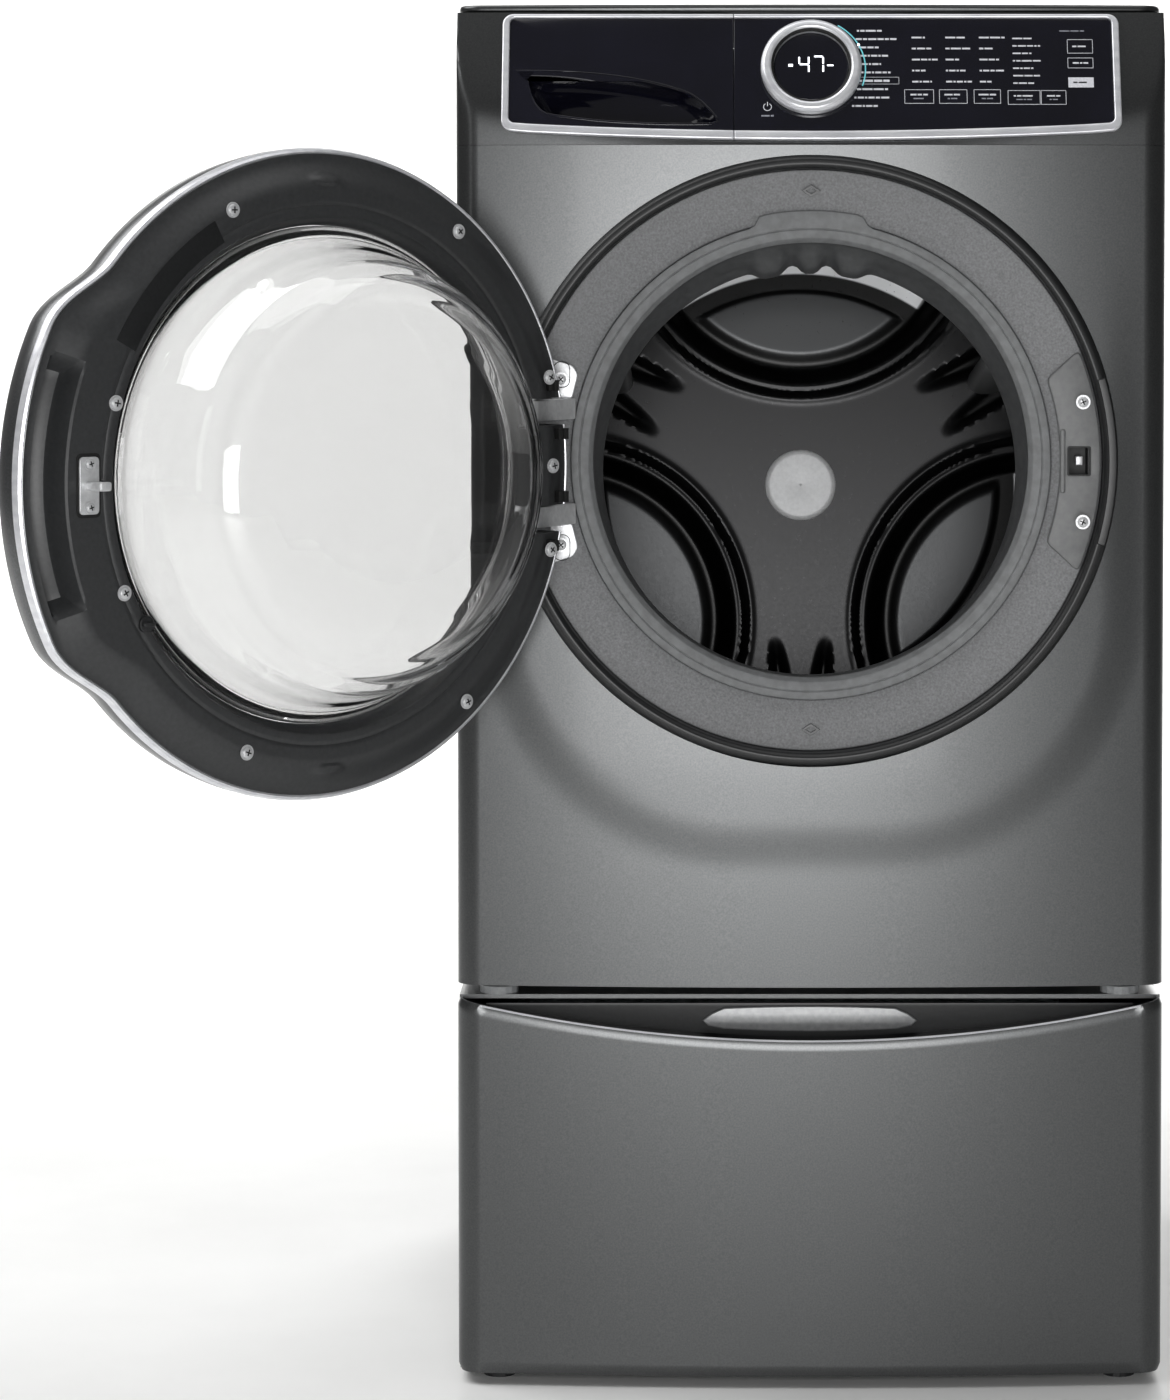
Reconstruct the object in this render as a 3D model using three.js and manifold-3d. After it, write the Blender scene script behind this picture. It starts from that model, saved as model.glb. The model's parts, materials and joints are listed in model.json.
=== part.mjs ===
// Front load washing machine with its door open, standing on a storage pedestal.
// Millimetres, +Z up, the front faces -Y. The model is built with Y = 0 on the middle of the bowed
// front panel and is then moved so that its origin is under the middle of its own bounding box.

import * as THREE from "three";
import { mergeVertices } from "three/addons/utils/BufferGeometryUtils.js";
import Module from "manifold-3d";

const wasm = await Module();
wasm.setup();

// Overall
const width = 688;
const depth = 735;
const bow = 16; // how far the front bulges at its middle
const cornerRadius = 22;
const sheet = 3;
const gap = 0.3;
const reach = 2000; // longer than anything that is cut

// Pedestal and cabinet levels
const footHeight = 10;
const pedestalTop = 380;
const machineFoot = 14;
const panelHeight = 818;
const consoleRise = 130;
const topThickness = 8;
const pedestalBase = footHeight;
const cabinetBase = pedestalTop + machineFoot;
const consoleBase = cabinetBase + panelHeight;
const topLevel = consoleBase + consoleRise;
const panelReturn = 60; // how far back the front panel wraps
const consoleDepth = 95;

// Opening
const openingHeight = 512; // above the cabinet's base
const openingZ = cabinetBase + openingHeight;
const recessRadius = 297;
const recessWall = 14;
const surroundBand = 50; // width of the textured ring between recess and bellows
const lipBand = 21;
const lipRadius = recessRadius - recessWall - surroundBand;
const mouthRadius = lipRadius - lipBand;

// Console
const consoleTilt = THREE.MathUtils.degToRad(21.5);
const trimMargin = 44; // cabinet side to trim
const trimHalf = width / 2 - trimMargin;
const trimLow = 4;
const trimSag = 9;
const trimHigh = consoleRise / Math.cos(consoleTilt) - 3;
const trimSide = 7;
const trimTop = 4;
const trimBottom = 9;
const splitX = -75;
const dialHeight = 79;
const dialRadius = 49;
const displayRadius = 36;

// Wash group
const drumTilt = THREE.MathUtils.degToRad(7);
const axisStart = 60; // where the tilted axis leaves the opening plane
const drumRadius = 266;
const drumWall = 2;
const drumMouth = mouthRadius + 26;
const drumStart = 66;
const drumEnd = depth - 325;
const tubRadius = 300;
const tubWall = 6;
const tubMouth = mouthRadius + 34;
const tubStart = 48;
const tubSplit = 130;
const tubEnd = drumEnd + 45;
const shaftRadius = 15;
const bearingRadius = 32;
const drumPulleyRadius = 150;
const motorPulleyRadius = 15;
const pulleyStart = tubEnd + 30;
const pulleyWidth = 14;
const motorDrop = 374;

// Door
const doorAngle = THREE.MathUtils.degToRad(138);
const doorRadius = recessRadius - 1;
const pinInset = 28; // door edge to hinge pin
const hingeX = pinInset - doorRadius;
const hingeY = -50;
const gripReach = 25;
const rimBand = 40;
const windowRadius = doorRadius - rimBand;
const glassRadius = lipRadius - 7;
const doorFront = -28;
const rimBack = 20;
const linerFace = 36;
const glassDepth = 140;
const armHeight = 51; // hinge arms above and below the door's middle
const armTall = 20;
const pinRadius = 4;

// Pedestal drawer
const drawerEdge = 37; // how far its top edge dips at the middle
const drawerBoxHalf = 305;

const finishes = {
  titanium: { color: "#4a4b4c", roughness: 0.38, metalness: 0.7 },
  zinc: { color: "#a9adb0", roughness: 0.45, metalness: 0.9 },
  chrome: { color: "#d7d9db", roughness: 0.15, metalness: 1 },
  blackGloss: { color: "#15151f", roughness: 0.12, metalness: 0 },
  blackPlastic: { color: "#1b1c1d", roughness: 0.5, metalness: 0 },
  greyPlastic: { color: "#5d5e5f", roughness: 0.6, metalness: 0 },
  charcoal: { color: "#343536", roughness: 0.5, metalness: 0 },
  rubber: { color: "#6c6d6e", roughness: 0.7, metalness: 0 },
  steel: { color: "#c3c6c8", roughness: 0.25, metalness: 1 },
  tub: { color: "#b9bcbd", roughness: 0.6, metalness: 0 },
  glass: { color: "#dfe5e6", roughness: 0.05, metalness: 0 },
  castIron: { color: "#6f706f", roughness: 0.8, metalness: 0.6 },
  aluminium: { color: "#b4b7b9", roughness: 0.45, metalness: 0.9 },
  board: { color: "#1f5a3a", roughness: 0.5, metalness: 0 },
};

// A geometry as a solid whose faces point out.
function solid(geometry) {
  const plain = geometry.index ? geometry.toNonIndexed() : geometry.clone();
  plain.deleteAttribute("normal");
  plain.deleteAttribute("uv");
  const merged = mergeVertices(plain, 1e-4);
  const triVerts = new Uint32Array(merged.index.array);
  const vertProperties = merged.attributes.position.array;
  const made = new wasm.Manifold(new wasm.Mesh({ numProp: 3, vertProperties, triVerts }));
  if (made.volume() > 0) return made;
  for (let i = 0; i < triVerts.length; i += 3) {
    [triVerts[i + 1], triVerts[i + 2]] = [triVerts[i + 2], triVerts[i + 1]];
  }
  return new wasm.Manifold(new wasm.Mesh({ numProp: 3, vertProperties, triVerts }));
}

function geometryOf(body) {
  const mesh = body.getMesh();
  const geometry = new THREE.BufferGeometry();
  geometry.setAttribute("position", new THREE.BufferAttribute(mesh.vertProperties, 3));
  geometry.setIndex(new THREE.BufferAttribute(mesh.triVerts, 1));
  geometry.computeVertexNormals();
  return geometry;
}

function put(parent, name, body, finish) {
  const mesh = new THREE.Mesh(geometryOf(body), new THREE.MeshStandardMaterial(finishes[finish]));
  mesh.name = name;
  parent.add(mesh);
  return mesh;
}

const join = (...bodies) => bodies.reduce((whole, next) => whole.add(next));
const cut = (body, ...tools) => tools.reduce((rest, tool) => rest.subtract(tool), body);

// A box between two corners.
function block(x0, x1, y0, y1, z0, z1) {
  const box = new THREE.BoxGeometry(x1 - x0, y1 - y0, z1 - z0);
  return solid(box.translate((x0 + x1) / 2, (y0 + y1) / 2, (z0 + z1) / 2));
}

// An open-topped or open-fronted box: the outer box less the same box inside its walls.
function hollow(x0, x1, y0, y1, z0, z1, wall, openFront) {
  const front = openFront ? y0 - wall : y0 + wall;
  const top = openFront ? z1 - wall : z1 + wall;
  return cut(block(x0, x1, y0, y1, z0, z1), block(x0 + wall, x1 - wall, front, y1 - wall, z0 + wall, top));
}

function rod(from, to, radius, sides = 16) {
  const start = new THREE.Vector3(...from);
  const along = new THREE.Vector3(...to).sub(start);
  const geometry = new THREE.CylinderGeometry(radius, radius, along.length(), sides);
  geometry.translate(0, along.length() / 2, 0);
  const up = new THREE.Vector3(0, 1, 0);
  geometry.applyQuaternion(new THREE.Quaternion().setFromUnitVectors(up, along.clone().normalize()));
  return solid(geometry.translate(...from));
}

// A ring turned about the Y axis from [radius, y] points, which close on themselves.
function turned(points, sides = 40, onAxis = false) {
  const profile = points.map(([radius, y]) => new THREE.Vector2(radius, y));
  if (!onAxis) profile.push(profile[0].clone());
  return solid(new THREE.LatheGeometry(profile, sides));
}

const tube = (outer, inner, y0, y1, sides) =>
  turned([[inner, y0], [outer, y0], [outer, y1], [inner, y1]], sides);

const disc = (radius, y0, y1, sides) => turned([[0, y0], [radius, y0], [radius, y1], [0, y1]], sides, true);

function extruded(shape, depthOfCut, curveSegments = 8, bevel = 0) {
  const options = { depth: depthOfCut - 2 * bevel, curveSegments, bevelEnabled: bevel > 0 };
  if (bevel > 0) {
    Object.assign(options, { bevelThickness: bevel, bevelSize: bevel, bevelOffset: -bevel, bevelSegments: 1 });
  }
  return new THREE.ExtrudeGeometry(shape, options).translate(0, 0, bevel);
}

// The bowed plan outline of the machine, inset by a wall and running back to a given depth.
function planShape(inset, front, rear) {
  const half = width / 2 - inset;
  const radius = cornerRadius - inset;
  const curve = (x) => front + bow * (x / (width / 2)) ** 2;
  const corner = curve(half - radius) + radius;
  const shape = new THREE.Shape();
  shape.moveTo(-half, rear);
  shape.lineTo(-half, corner);
  shape.absarc(-half + radius, corner, radius, Math.PI, Math.PI * 1.5, false);
  const steps = 14;
  for (let i = 1; i < steps; i++) {
    const x = -(half - radius) + (2 * (half - radius) * i) / steps;
    shape.lineTo(x, curve(x));
  }
  shape.absarc(half - radius, corner, radius, Math.PI * 1.5, Math.PI * 2, false);
  shape.lineTo(half, rear);
  return shape;
}

function planSolid(inset, front, rear, z0, z1) {
  return solid(extruded(planShape(inset, front, rear), z1 - z0, 5).translate(0, 0, z0));
}

// A shape drawn in X and Z, cut through from y0 to y1.
function facing(shape, y0, y1, curveSegments = 8, bevel = 0) {
  const geometry = extruded(shape, y1 - y0, curveSegments, bevel);
  return solid(geometry.rotateX(Math.PI / 2).translate(0, y1, 0));
}

const root = new THREE.Group();
const machine = new THREE.Group();
root.add(machine);

const consoleFrame = new THREE.Group();
consoleFrame.position.set(0, 0, consoleBase);
consoleFrame.rotation.x = Math.PI / 2 - consoleTilt;
machine.add(consoleFrame);
consoleFrame.updateMatrix();

const washFrame = new THREE.Group();
washFrame.position.set(0, axisStart, openingZ);
washFrame.rotation.x = -drumTilt;
machine.add(washFrame);

const doorFrame = new THREE.Group();
doorFrame.position.set(hingeX, hingeY, openingZ);
doorFrame.rotation.z = -doorAngle;
machine.add(doorFrame);

// Everything behind a plane parallel to the console face, in the machine's frame.
function behindConsole(offset) {
  const box = new THREE.BoxGeometry(reach, reach, reach).translate(0, 0, offset - reach / 2);
  return solid(box.applyMatrix4(consoleFrame.matrix));
}

// Cabinet

function frontPanel() {
  const shell = cut(
    planSolid(0, 0, panelReturn, cabinetBase, consoleBase),
    planSolid(sheet, sheet, reach, cabinetBase - 1, consoleBase + 1),
  );
  const opening = disc(recessRadius + gap, -reach, reach, 48).translate([0, 0, openingZ]);
  put(machine, "front_panel", cut(shell, opening), "titanium");
}

const serviceHalf = 170;
const serviceLow = cabinetBase + 160;
const serviceHigh = cabinetBase + 640;

function cabinetWrap() {
  const side = width / 2;
  const front = panelReturn + gap;
  const outer = block(-side, side, front, depth, cabinetBase, topLevel);
  const inner = block(-side + sheet, side - sheet, -1, depth - sheet, cabinetBase - 1, topLevel + 1);
  const consoleRoom = block(-reach, reach, -reach, consoleDepth + gap, consoleBase - gap, reach);
  const service = block(-serviceHalf, serviceHalf, depth - 2 * sheet, depth + 1, serviceLow, serviceHigh);
  put(machine, "cabinet_wrap", cut(outer, inner, consoleRoom, service), "titanium");
  const lap = 14;
  const cover = block(
    -serviceHalf - lap,
    serviceHalf + lap,
    depth + gap,
    depth + gap + sheet,
    serviceLow - lap,
    serviceHigh + lap,
  );
  put(machine, "rear_cover", cover, "zinc");
}

function topPanel() {
  const shape = planShape(0, consoleRise * Math.tan(consoleTilt) - 4, depth);
  const geometry = extruded(shape, topThickness, 5, 3).translate(0, 0, topLevel + gap);
  put(machine, "top_panel", solid(geometry), "titanium");
}

function basePan() {
  const side = width / 2 - sheet - gap;
  const front = bow + cornerRadius;
  const tray = hollow(-side, side, front, depth - sheet - gap, cabinetBase, cabinetBase + 30, sheet);
  put(machine, "base_pan", tray, "zinc");
}

function footAt(name, x, y, z, height, radius) {
  const foot = join(
    rod([x, y, z], [x, y, z + height * 0.55], radius, 16),
    rod([x, y, z + height * 0.5], [x, y, z + height - gap], radius * 0.4, 12),
  );
  put(machine, name, foot, "greyPlastic");
}

function feet() {
  const inset = 38;
  const corners = [
    ["front_left", -1, 58],
    ["front_right", 1, 58],
    ["rear_left", -1, depth - 45],
    ["rear_right", 1, depth - 45],
  ];
  for (const [corner, side, y] of corners) {
    const x = side * (width / 2 - inset);
    footAt("machine_foot_" + corner, x, y, pedestalTop + gap, machineFoot - gap, 19);
    footAt("pedestal_foot_" + corner, x, y, 0, footHeight, 16);
  }
}

// Console

function trimOutline(inset) {
  const half = trimHalf - inset.side;
  const radius = 11 - Math.min(inset.side, 5);
  const low = (x) => trimLow + inset.bottom + trimSag * (x / trimHalf) ** 2;
  const high = trimHigh - inset.top;
  const shape = new THREE.Shape();
  const steps = 12;
  shape.moveTo(-(half - radius), low(half - radius));
  for (let i = 1; i <= steps; i++) {
    const x = -(half - radius) + (2 * (half - radius) * i) / steps;
    shape.lineTo(x, low(x));
  }
  shape.absarc(half - radius, low(half) + radius, radius, -Math.PI / 2 + 0.1, 0, false);
  shape.absarc(half - radius, high - radius, radius, 0, Math.PI / 2, false);
  shape.absarc(-half + radius, high - radius, radius, Math.PI / 2, Math.PI, false);
  shape.absarc(-half + radius, low(half) + radius, radius, Math.PI, Math.PI * 1.5 - 0.1, false);
  return shape;
}

const trimInner = { side: trimSide, top: trimTop, bottom: trimBottom };
const fasciaInset = { side: trimSide + gap, top: trimTop + gap, bottom: trimBottom + gap };
const faceBack = -3;
const faceFront = 3;

const outlineSolid = (inset, z0, z1) => solid(extruded(trimOutline(inset), z1 - z0, 4).translate(0, 0, z0));

function consoleSurround() {
  const rise = topLevel - consoleBase;
  const outer = planSolid(0, 0, consoleDepth, consoleBase + gap, consoleBase + rise);
  const inner = planSolid(sheet, sheet, reach, consoleBase - 1, consoleBase + rise - sheet);
  const shell = cut(outer.intersect(behindConsole(0)), inner.intersect(behindConsole(-sheet)));
  const seat = { side: 4, top: 2, bottom: 5 };
  const window = outlineSolid(seat, -60, 20).transform(consoleFrame.matrix.elements);
  put(machine, "console_surround", cut(shell, window), "titanium");
}

function consoleFace() {
  const left = block(-reach, splitX - gap / 2, -reach, reach, -reach, reach);
  const right = block(splitX + gap / 2, reach, -reach, reach, -reach, reach);
  const trim = cut(outlineSolid({ side: 0, top: 0, bottom: 0 }, gap, 5), outlineSolid(trimInner, -1, 6));
  put(consoleFrame, "console_trim", trim.intersect(right), "chrome");
  put(consoleFrame, "drawer_trim", trim.intersect(left), "chrome");
  const face = outlineSolid(fasciaInset, faceBack, faceFront);
  const displayHole = rod([0, dialHeight, -9], [0, dialHeight, 9], displayRadius, 40);
  put(consoleFrame, "control_fascia", cut(face.intersect(right), displayHole), "blackGloss");
  put(consoleFrame, "drawer_front", drawerFront(face.intersect(left)), "blackGloss");
  const lens = rod([0, dialHeight, faceBack], [0, dialHeight, 9], displayRadius - gap, 40);
  put(consoleFrame, "display_lens", lens, "blackGloss");
  const ring = cut(
    rod([0, dialHeight, faceFront + gap], [0, dialHeight, 15], dialRadius, 48),
    rod([0, dialHeight, 0], [0, dialHeight, 16], displayRadius + gap, 48),
  );
  put(consoleFrame, "dial_ring", ring, "chrome");
  const board = block(splitX + 20, trimHalf - 20, 28, 112, -34, -22);
  put(consoleFrame, "control_board", board, "board");
}

// The drawer's pull is a long pocket that tapers to a point at both ends.
const pullLeft = -trimHalf + 16;
const pullRight = splitX - 16;
const pullDepth = 28;

function pullShape(grow) {
  const shape = new THREE.Shape();
  const middle = (pullLeft + pullRight) / 2;
  shape.moveTo(pullLeft - grow, 75 + grow);
  shape.quadraticCurveTo(middle, 76 + grow, pullRight - 39, 56 + grow);
  shape.quadraticCurveTo(pullRight - 16, 50 + grow, pullRight + grow, 24);
  shape.lineTo(pullRight - 6, 22 - grow);
  shape.quadraticCurveTo(middle, 20 - grow, pullLeft + 29, 32 - grow);
  shape.quadraticCurveTo(pullLeft + 14 - grow, 38, pullLeft + 10 - grow, 66);
  return shape;
}

function drawerFront(face) {
  const wall = 2.5;
  const shell = solid(extruded(pullShape(wall), pullDepth + wall, 6).translate(0, 0, -pullDepth - wall));
  const pocket = solid(extruded(pullShape(0), pullDepth + 9, 6).translate(0, 0, -pullDepth));
  return cut(join(face, shell), pocket);
}

// Detergent dispenser

const drawerLeft = -trimHalf + 18;
const drawerRight = splitX - 14;
const drawerLow = consoleBase + 26;
const drawerHigh = consoleBase + 100;
const drawerBack = 370;

function dispenser() {
  const wall = 2.5;
  const room = behindConsole(-pullDepth - 3);
  const middle = (drawerLeft + drawerRight) / 2 + 20;
  const outer = block(drawerLeft, drawerRight, -50, drawerBack, drawerLow, drawerHigh);
  const start = 110;
  const bay = (x0, x1, floor) => block(x0, x1, start, drawerBack - wall, floor, drawerHigh + 1);
  const tray = cut(
    outer.intersect(room),
    bay(drawerLeft + wall, middle, drawerLow + wall),
    bay(middle + wall, drawerRight - wall, drawerLow + 20),
  );
  put(machine, "dispenser_tray", tray, "tub");
  const clear = 3;
  const housing = hollow(
    drawerLeft - clear - wall,
    drawerRight + clear + wall,
    consoleDepth + 4,
    drawerBack + 40,
    drawerLow - clear - wall,
    drawerHigh + 16,
    wall,
    true,
  );
  put(machine, "dispenser_housing", housing, "tub");
}

// Opening

function opening() {
  const inner = recessRadius - recessWall;
  const at = [0, 0, openingZ];
  const ring = turned([[inner, -3], [inner + 4, -7], [recessRadius - 4, -6], [recessRadius, 0], [recessRadius, 34],
    [inner, 34]], 48);
  put(machine, "recess_ring", ring.translate(at), "blackPlastic");
  const surround = turned([[inner - gap, 15], [inner - gap, 34], [lipRadius + gap, 40], [lipRadius + gap, 22]], 48);
  put(machine, "opening_surround", cut(surround.translate(at), lockRoom()), "greyPlastic");
  const bellows = turned([
    [lipRadius, 22], [lipRadius - 4, 18], [mouthRadius + 3, 20], [mouthRadius, 26], [mouthRadius + 2, 52],
    [mouthRadius + 14, 60], [mouthRadius + 14, 70], [mouthRadius + 2, 76], [mouthRadius + 2, 84],
    [mouthRadius + 22, 84], [mouthRadius + 22, 54], [lipRadius, 40],
  ], 48);
  put(machine, "door_bellows", bellows.translate(at), "rubber");
}

const lockX = (recessRadius - recessWall + lipRadius) / 2 + 2;
const lockHalf = 108;
const lockRoomHalf = surroundBand / 2 - 8;

function lockRoom() {
  return block(lockX - lockRoomHalf, lockX + lockRoomHalf, 0, 60, openingZ - 40, openingZ + 40);
}

function doorLock() {
  const shape = new THREE.Shape();
  const outer = recessRadius - recessWall - 2;
  const sweep = Math.asin(lockHalf / outer);
  const innerSweep = sweep - 0.02;
  shape.absarc(0, 0, outer, -sweep, sweep, false);
  shape.lineTo((lipRadius + 9) * Math.cos(sweep) + 4, (lipRadius + 9) * Math.sin(sweep) + 6);
  shape.absarc(0, 0, lipRadius + 9, innerSweep, -innerSweep, true);
  const plate = facing(shape, 8, 14.5, 8).translate([0, 0, openingZ]);
  const mouth = block(lockX - 9, lockX + 9, 0, 30, openingZ - 14, openingZ + 14);
  put(machine, "lock_cover", cut(plate, mouth), "greyPlastic");
  const half = lockRoomHalf - 2;
  const body = block(lockX - half, lockX + half, 15, 52, openingZ - 36, openingZ + 36);
  const throat = block(lockX - 9, lockX + 9, 0, 42, openingZ - 14, openingZ + 14);
  put(machine, "door_lock", cut(body, throat), "blackPlastic");
}

// Door: built shut about its hinge axis, with the middle of the door at +X and its inside facing +Y.

const doorMiddle = -hingeX;

function doorOutline(inset, hole) {
  const shape = new THREE.Shape();
  const steps = 48;
  for (let i = 0; i < steps; i++) {
    const angle = (2 * Math.PI * i) / steps;
    const away = Math.abs(i > steps / 2 ? 2 * Math.PI - angle : angle);
    const blend = THREE.MathUtils.smoothstep(away, 0.45, 0.72);
    const radius = doorRadius + gripReach * (1 - blend) - inset;
    const x = doorMiddle + radius * Math.cos(angle);
    if (i === 0) shape.moveTo(x, radius * Math.sin(angle));
    else shape.lineTo(x, radius * Math.sin(angle));
  }
  const path = new THREE.Path();
  path.absarc(doorMiddle, 0, hole, 0, Math.PI * 2, true);
  shape.holes.push(path);
  return shape;
}

function door() {
  const rimWall = 6;
  const notchReach = doorMiddle - glassRadius - 6;
  const notch = (side) => {
    const z = side * armHeight;
    return block(-reach, notchReach, doorFront + 8, reach, z - armTall / 2 - 3, z + armTall / 2 + 3);
  };
  const pinHole = rod([0, 0, -95], [0, 0, 95], pinRadius + gap, 16);
  const rim = facing(doorOutline(0, windowRadius), doorFront, rimBack, 24, rimWall);
  put(doorFrame, "door_rim", cut(rim, notch(1), notch(-1), pinHole, gripPocket(0)), "titanium");
  const liner = facing(doorOutline(6, glassRadius + gap), rimBack + gap, linerFace, 24, 4);
  put(doorFrame, "door_liner", cut(liner, notch(1), notch(-1), gripPocket(1)), "charcoal");
  const at = [doorMiddle, 0, 0];
  put(doorFrame, "door_window", disc(windowRadius - gap, doorFront + 4, doorFront + 9, 48).translate(at), "glass");
  const g = glassRadius;
  const wall = 5;
  const d = glassDepth;
  const bowl = turned([
    [0, d - wall], [g - 84, d - 5 - wall], [g - 50, d - 18 - wall], [g - 35, d - 44], [g - 27, 62], [g - 13, 32],
    [g - 8, rimBack - 6], [g, rimBack - 6], [g, rimBack + 4], [g - 8, 34], [g - 22, 64], [g - 30, d - 43],
    [g - 46, d - 18], [g - 82, d - 5], [0, d],
  ], 40, true);
  put(doorFrame, "door_glass", bowl.translate(at), "glass");
  put(doorFrame, "hinge_pin", rod([0, 0, -90], [0, 0, 90], pinRadius, 16), "steel");
  strike();
}

// The grip's pocket opens on the inside of the door, between two arcs.
function gripPocket(extra) {
  const shape = new THREE.Shape();
  const outer = doorRadius + gripReach - 10;
  const inner = doorRadius - 14;
  const sweep = 0.36;
  shape.absarc(doorMiddle, 0, outer, -sweep, sweep, false);
  shape.absarc(doorMiddle, 0, inner, sweep, -sweep, true);
  return facing(shape, -4, linerFace + 4 + extra, 12);
}

function strike() {
  const x = doorMiddle + lockX;
  const face = linerFace + gap;
  const plate = block(x - 10, x + 10, face, face + 2, -25, 25);
  const stem = block(x - 4, x + 4, face + 1, face + 24, -4, 4);
  const nose = block(x - 8, x + 4, face + 18, face + 24, -4, 4);
  put(doorFrame, "door_strike", join(plate, stem, nose), "chrome");
}

function hingeBracket(name, side) {
  const z = openingZ + side * armHeight;
  const face = 14.4;
  const plate = block(hingeX + 13, hingeX + 42, face - 3, face, z + Math.min(side * 8, side * 50),
    z + Math.max(side * 8, side * 50));
  const tall = armTall / 2;
  const arm = new THREE.Shape();
  arm.moveTo(hingeX - 4, hingeY);
  arm.lineTo(hingeX + 4, hingeY);
  arm.lineTo(hingeX + 42, face - 3);
  arm.lineTo(hingeX + 42, face);
  arm.lineTo(hingeX + 26, face);
  const web = solid(extruded(arm, armTall).translate(0, 0, z - tall));
  const eye = rod([hingeX, hingeY, z - tall], [hingeX, hingeY, z + tall], pinRadius + 4, 16);
  const bore = rod([hingeX, hingeY, z - tall - 1], [hingeX, hingeY, z + tall + 1], pinRadius + gap, 16);
  put(machine, name, cut(join(plate, web, eye), bore), "chrome");
}

// Wash group, in the tilted frame whose Y axis is the drum's axis

function tub() {
  const outer = tubRadius;
  const front = turned([
    [tubMouth, tubStart], [outer, tubStart], [outer + 8, tubSplit - 6], [outer + 8, tubSplit], [outer - tubWall, tubSplit],
    [outer - tubWall, tubStart + tubWall], [tubMouth, tubStart + tubWall],
  ]);
  put(washFrame, "tub_front", front, "tub");
  const rear = turned([
    [outer + 8, tubSplit + gap], [outer + 8, tubSplit + 6], [outer, tubSplit + 12], [outer, tubEnd],
    [bearingRadius + gap, tubEnd], [bearingRadius + gap, tubEnd - tubWall - 4],
    [outer - tubWall, tubEnd - tubWall - 4], [outer - tubWall, tubSplit + gap],
  ]);
  put(washFrame, "tub_rear", rear, "tub");
  put(washFrame, "drum_bearing", tube(bearingRadius, shaftRadius + gap, tubEnd - 10, tubEnd + 8, 24), "steel");
}

function drum() {
  const r = drumRadius;
  const shell = turned([
    [0, drumEnd - 6], [37, drumEnd - 6], [37, drumEnd], [r - drumWall, drumEnd],
    [r - drumWall, drumStart + drumWall], [drumMouth, drumStart + drumWall], [drumMouth, drumStart], [r, drumStart],
    [r, drumEnd + 3], [0, drumEnd + 3],
  ], 40, true);
  put(washFrame, "drum_shell", shell, "steel");
  const armStart = drumEnd + 3 + gap;
  let spider = join(
    disc(45, armStart, armStart + 20, 24),
    rod([0, armStart, 0], [0, pulleyStart + pulleyWidth + 8, 0], shaftRadius, 24),
  );
  for (let i = 0; i < 3; i++) {
    const arm = block(20, r - 12, armStart, armStart + 14, -13, 13);
    spider = spider.add(arm.rotate([0, 90 + 120 * i, 0]));
  }
  put(washFrame, "drum_spider", spider, "aluminium");
  for (let i = 0; i < 3; i++) {
    const shape = new THREE.Shape();
    shape.moveTo(-28, -r + drumWall + 3.5);
    shape.lineTo(28, -r + drumWall + 3.5);
    shape.lineTo(9, -r + 58);
    shape.lineTo(-9, -r + 58);
    const lifter = facing(shape, drumStart + 30, drumEnd - gap).rotate([0, 120 * i, 0]);
    put(washFrame, "drum_lifter_" + (i + 1), lifter, "greyPlastic");
  }
  const web = cut(
    disc(drumPulleyRadius, pulleyStart, pulleyStart + pulleyWidth, 40),
    disc(shaftRadius + gap, -reach, reach, 24),
  );
  put(washFrame, "drum_pulley", web, "aluminium");
}

function drive() {
  const end = pulleyStart + pulleyWidth;
  put(washFrame, "motor_pulley", rod([0, pulleyStart - 14, -motorDrop], [0, end, -motorDrop], motorPulleyRadius, 20),
    "steel");
  put(washFrame, "motor", rod([0, pulleyStart - 190, -motorDrop], [0, pulleyStart - 14 - gap, -motorDrop], 62, 28),
    "blackPlastic");
  const loop = (grow) => {
    const big = drumPulleyRadius + grow;
    const small = motorPulleyRadius + grow;
    const lean = Math.asin((big - small) / motorDrop);
    const shape = new THREE.Shape();
    shape.absarc(0, 0, big, -lean, Math.PI + lean, false);
    shape.absarc(0, -motorDrop, small, Math.PI + lean, 2 * Math.PI - lean, false);
    return shape;
  };
  const belt = cut(facing(loop(3.5), pulleyStart + 2, end - 2, 20), facing(loop(0.5), pulleyStart, end, 20));
  put(washFrame, "drive_belt", belt, "blackPlastic");
}

function suspension() {
  const hang = width / 2 - 18;
  for (const [name, side] of [["left", -1], ["right", 1]]) {
    const spring = rod([side * hang, 330, topLevel - 120], [side * (hang - 4), 330, openingZ + 120], 11, 14);
    put(machine, "spring_" + name, spring, "steel");
    const low = [side * 250, 300, cabinetBase + 34];
    const high = [side * 185, 300, openingZ - 300];
    put(machine, "damper_" + name, rod(low, high, 15, 14), "blackPlastic");
  }
  const slab = block(-20, 200, 150, 300, openingZ + tubRadius - 10, openingZ + tubRadius + 60);
  const bed = disc(tubRadius + 12, -reach, reach, 48).rotate([(-drumTilt * 180) / Math.PI, 0, 0]);
  put(machine, "counterweight", cut(slab, bed.translate([0, axisStart, openingZ])), "castIron");
  const pump = rod([-190, 130, cabinetBase + 80], [-190, 230, cabinetBase + 80], 42, 24);
  put(machine, "drain_pump", pump, "greyPlastic");
}

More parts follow.
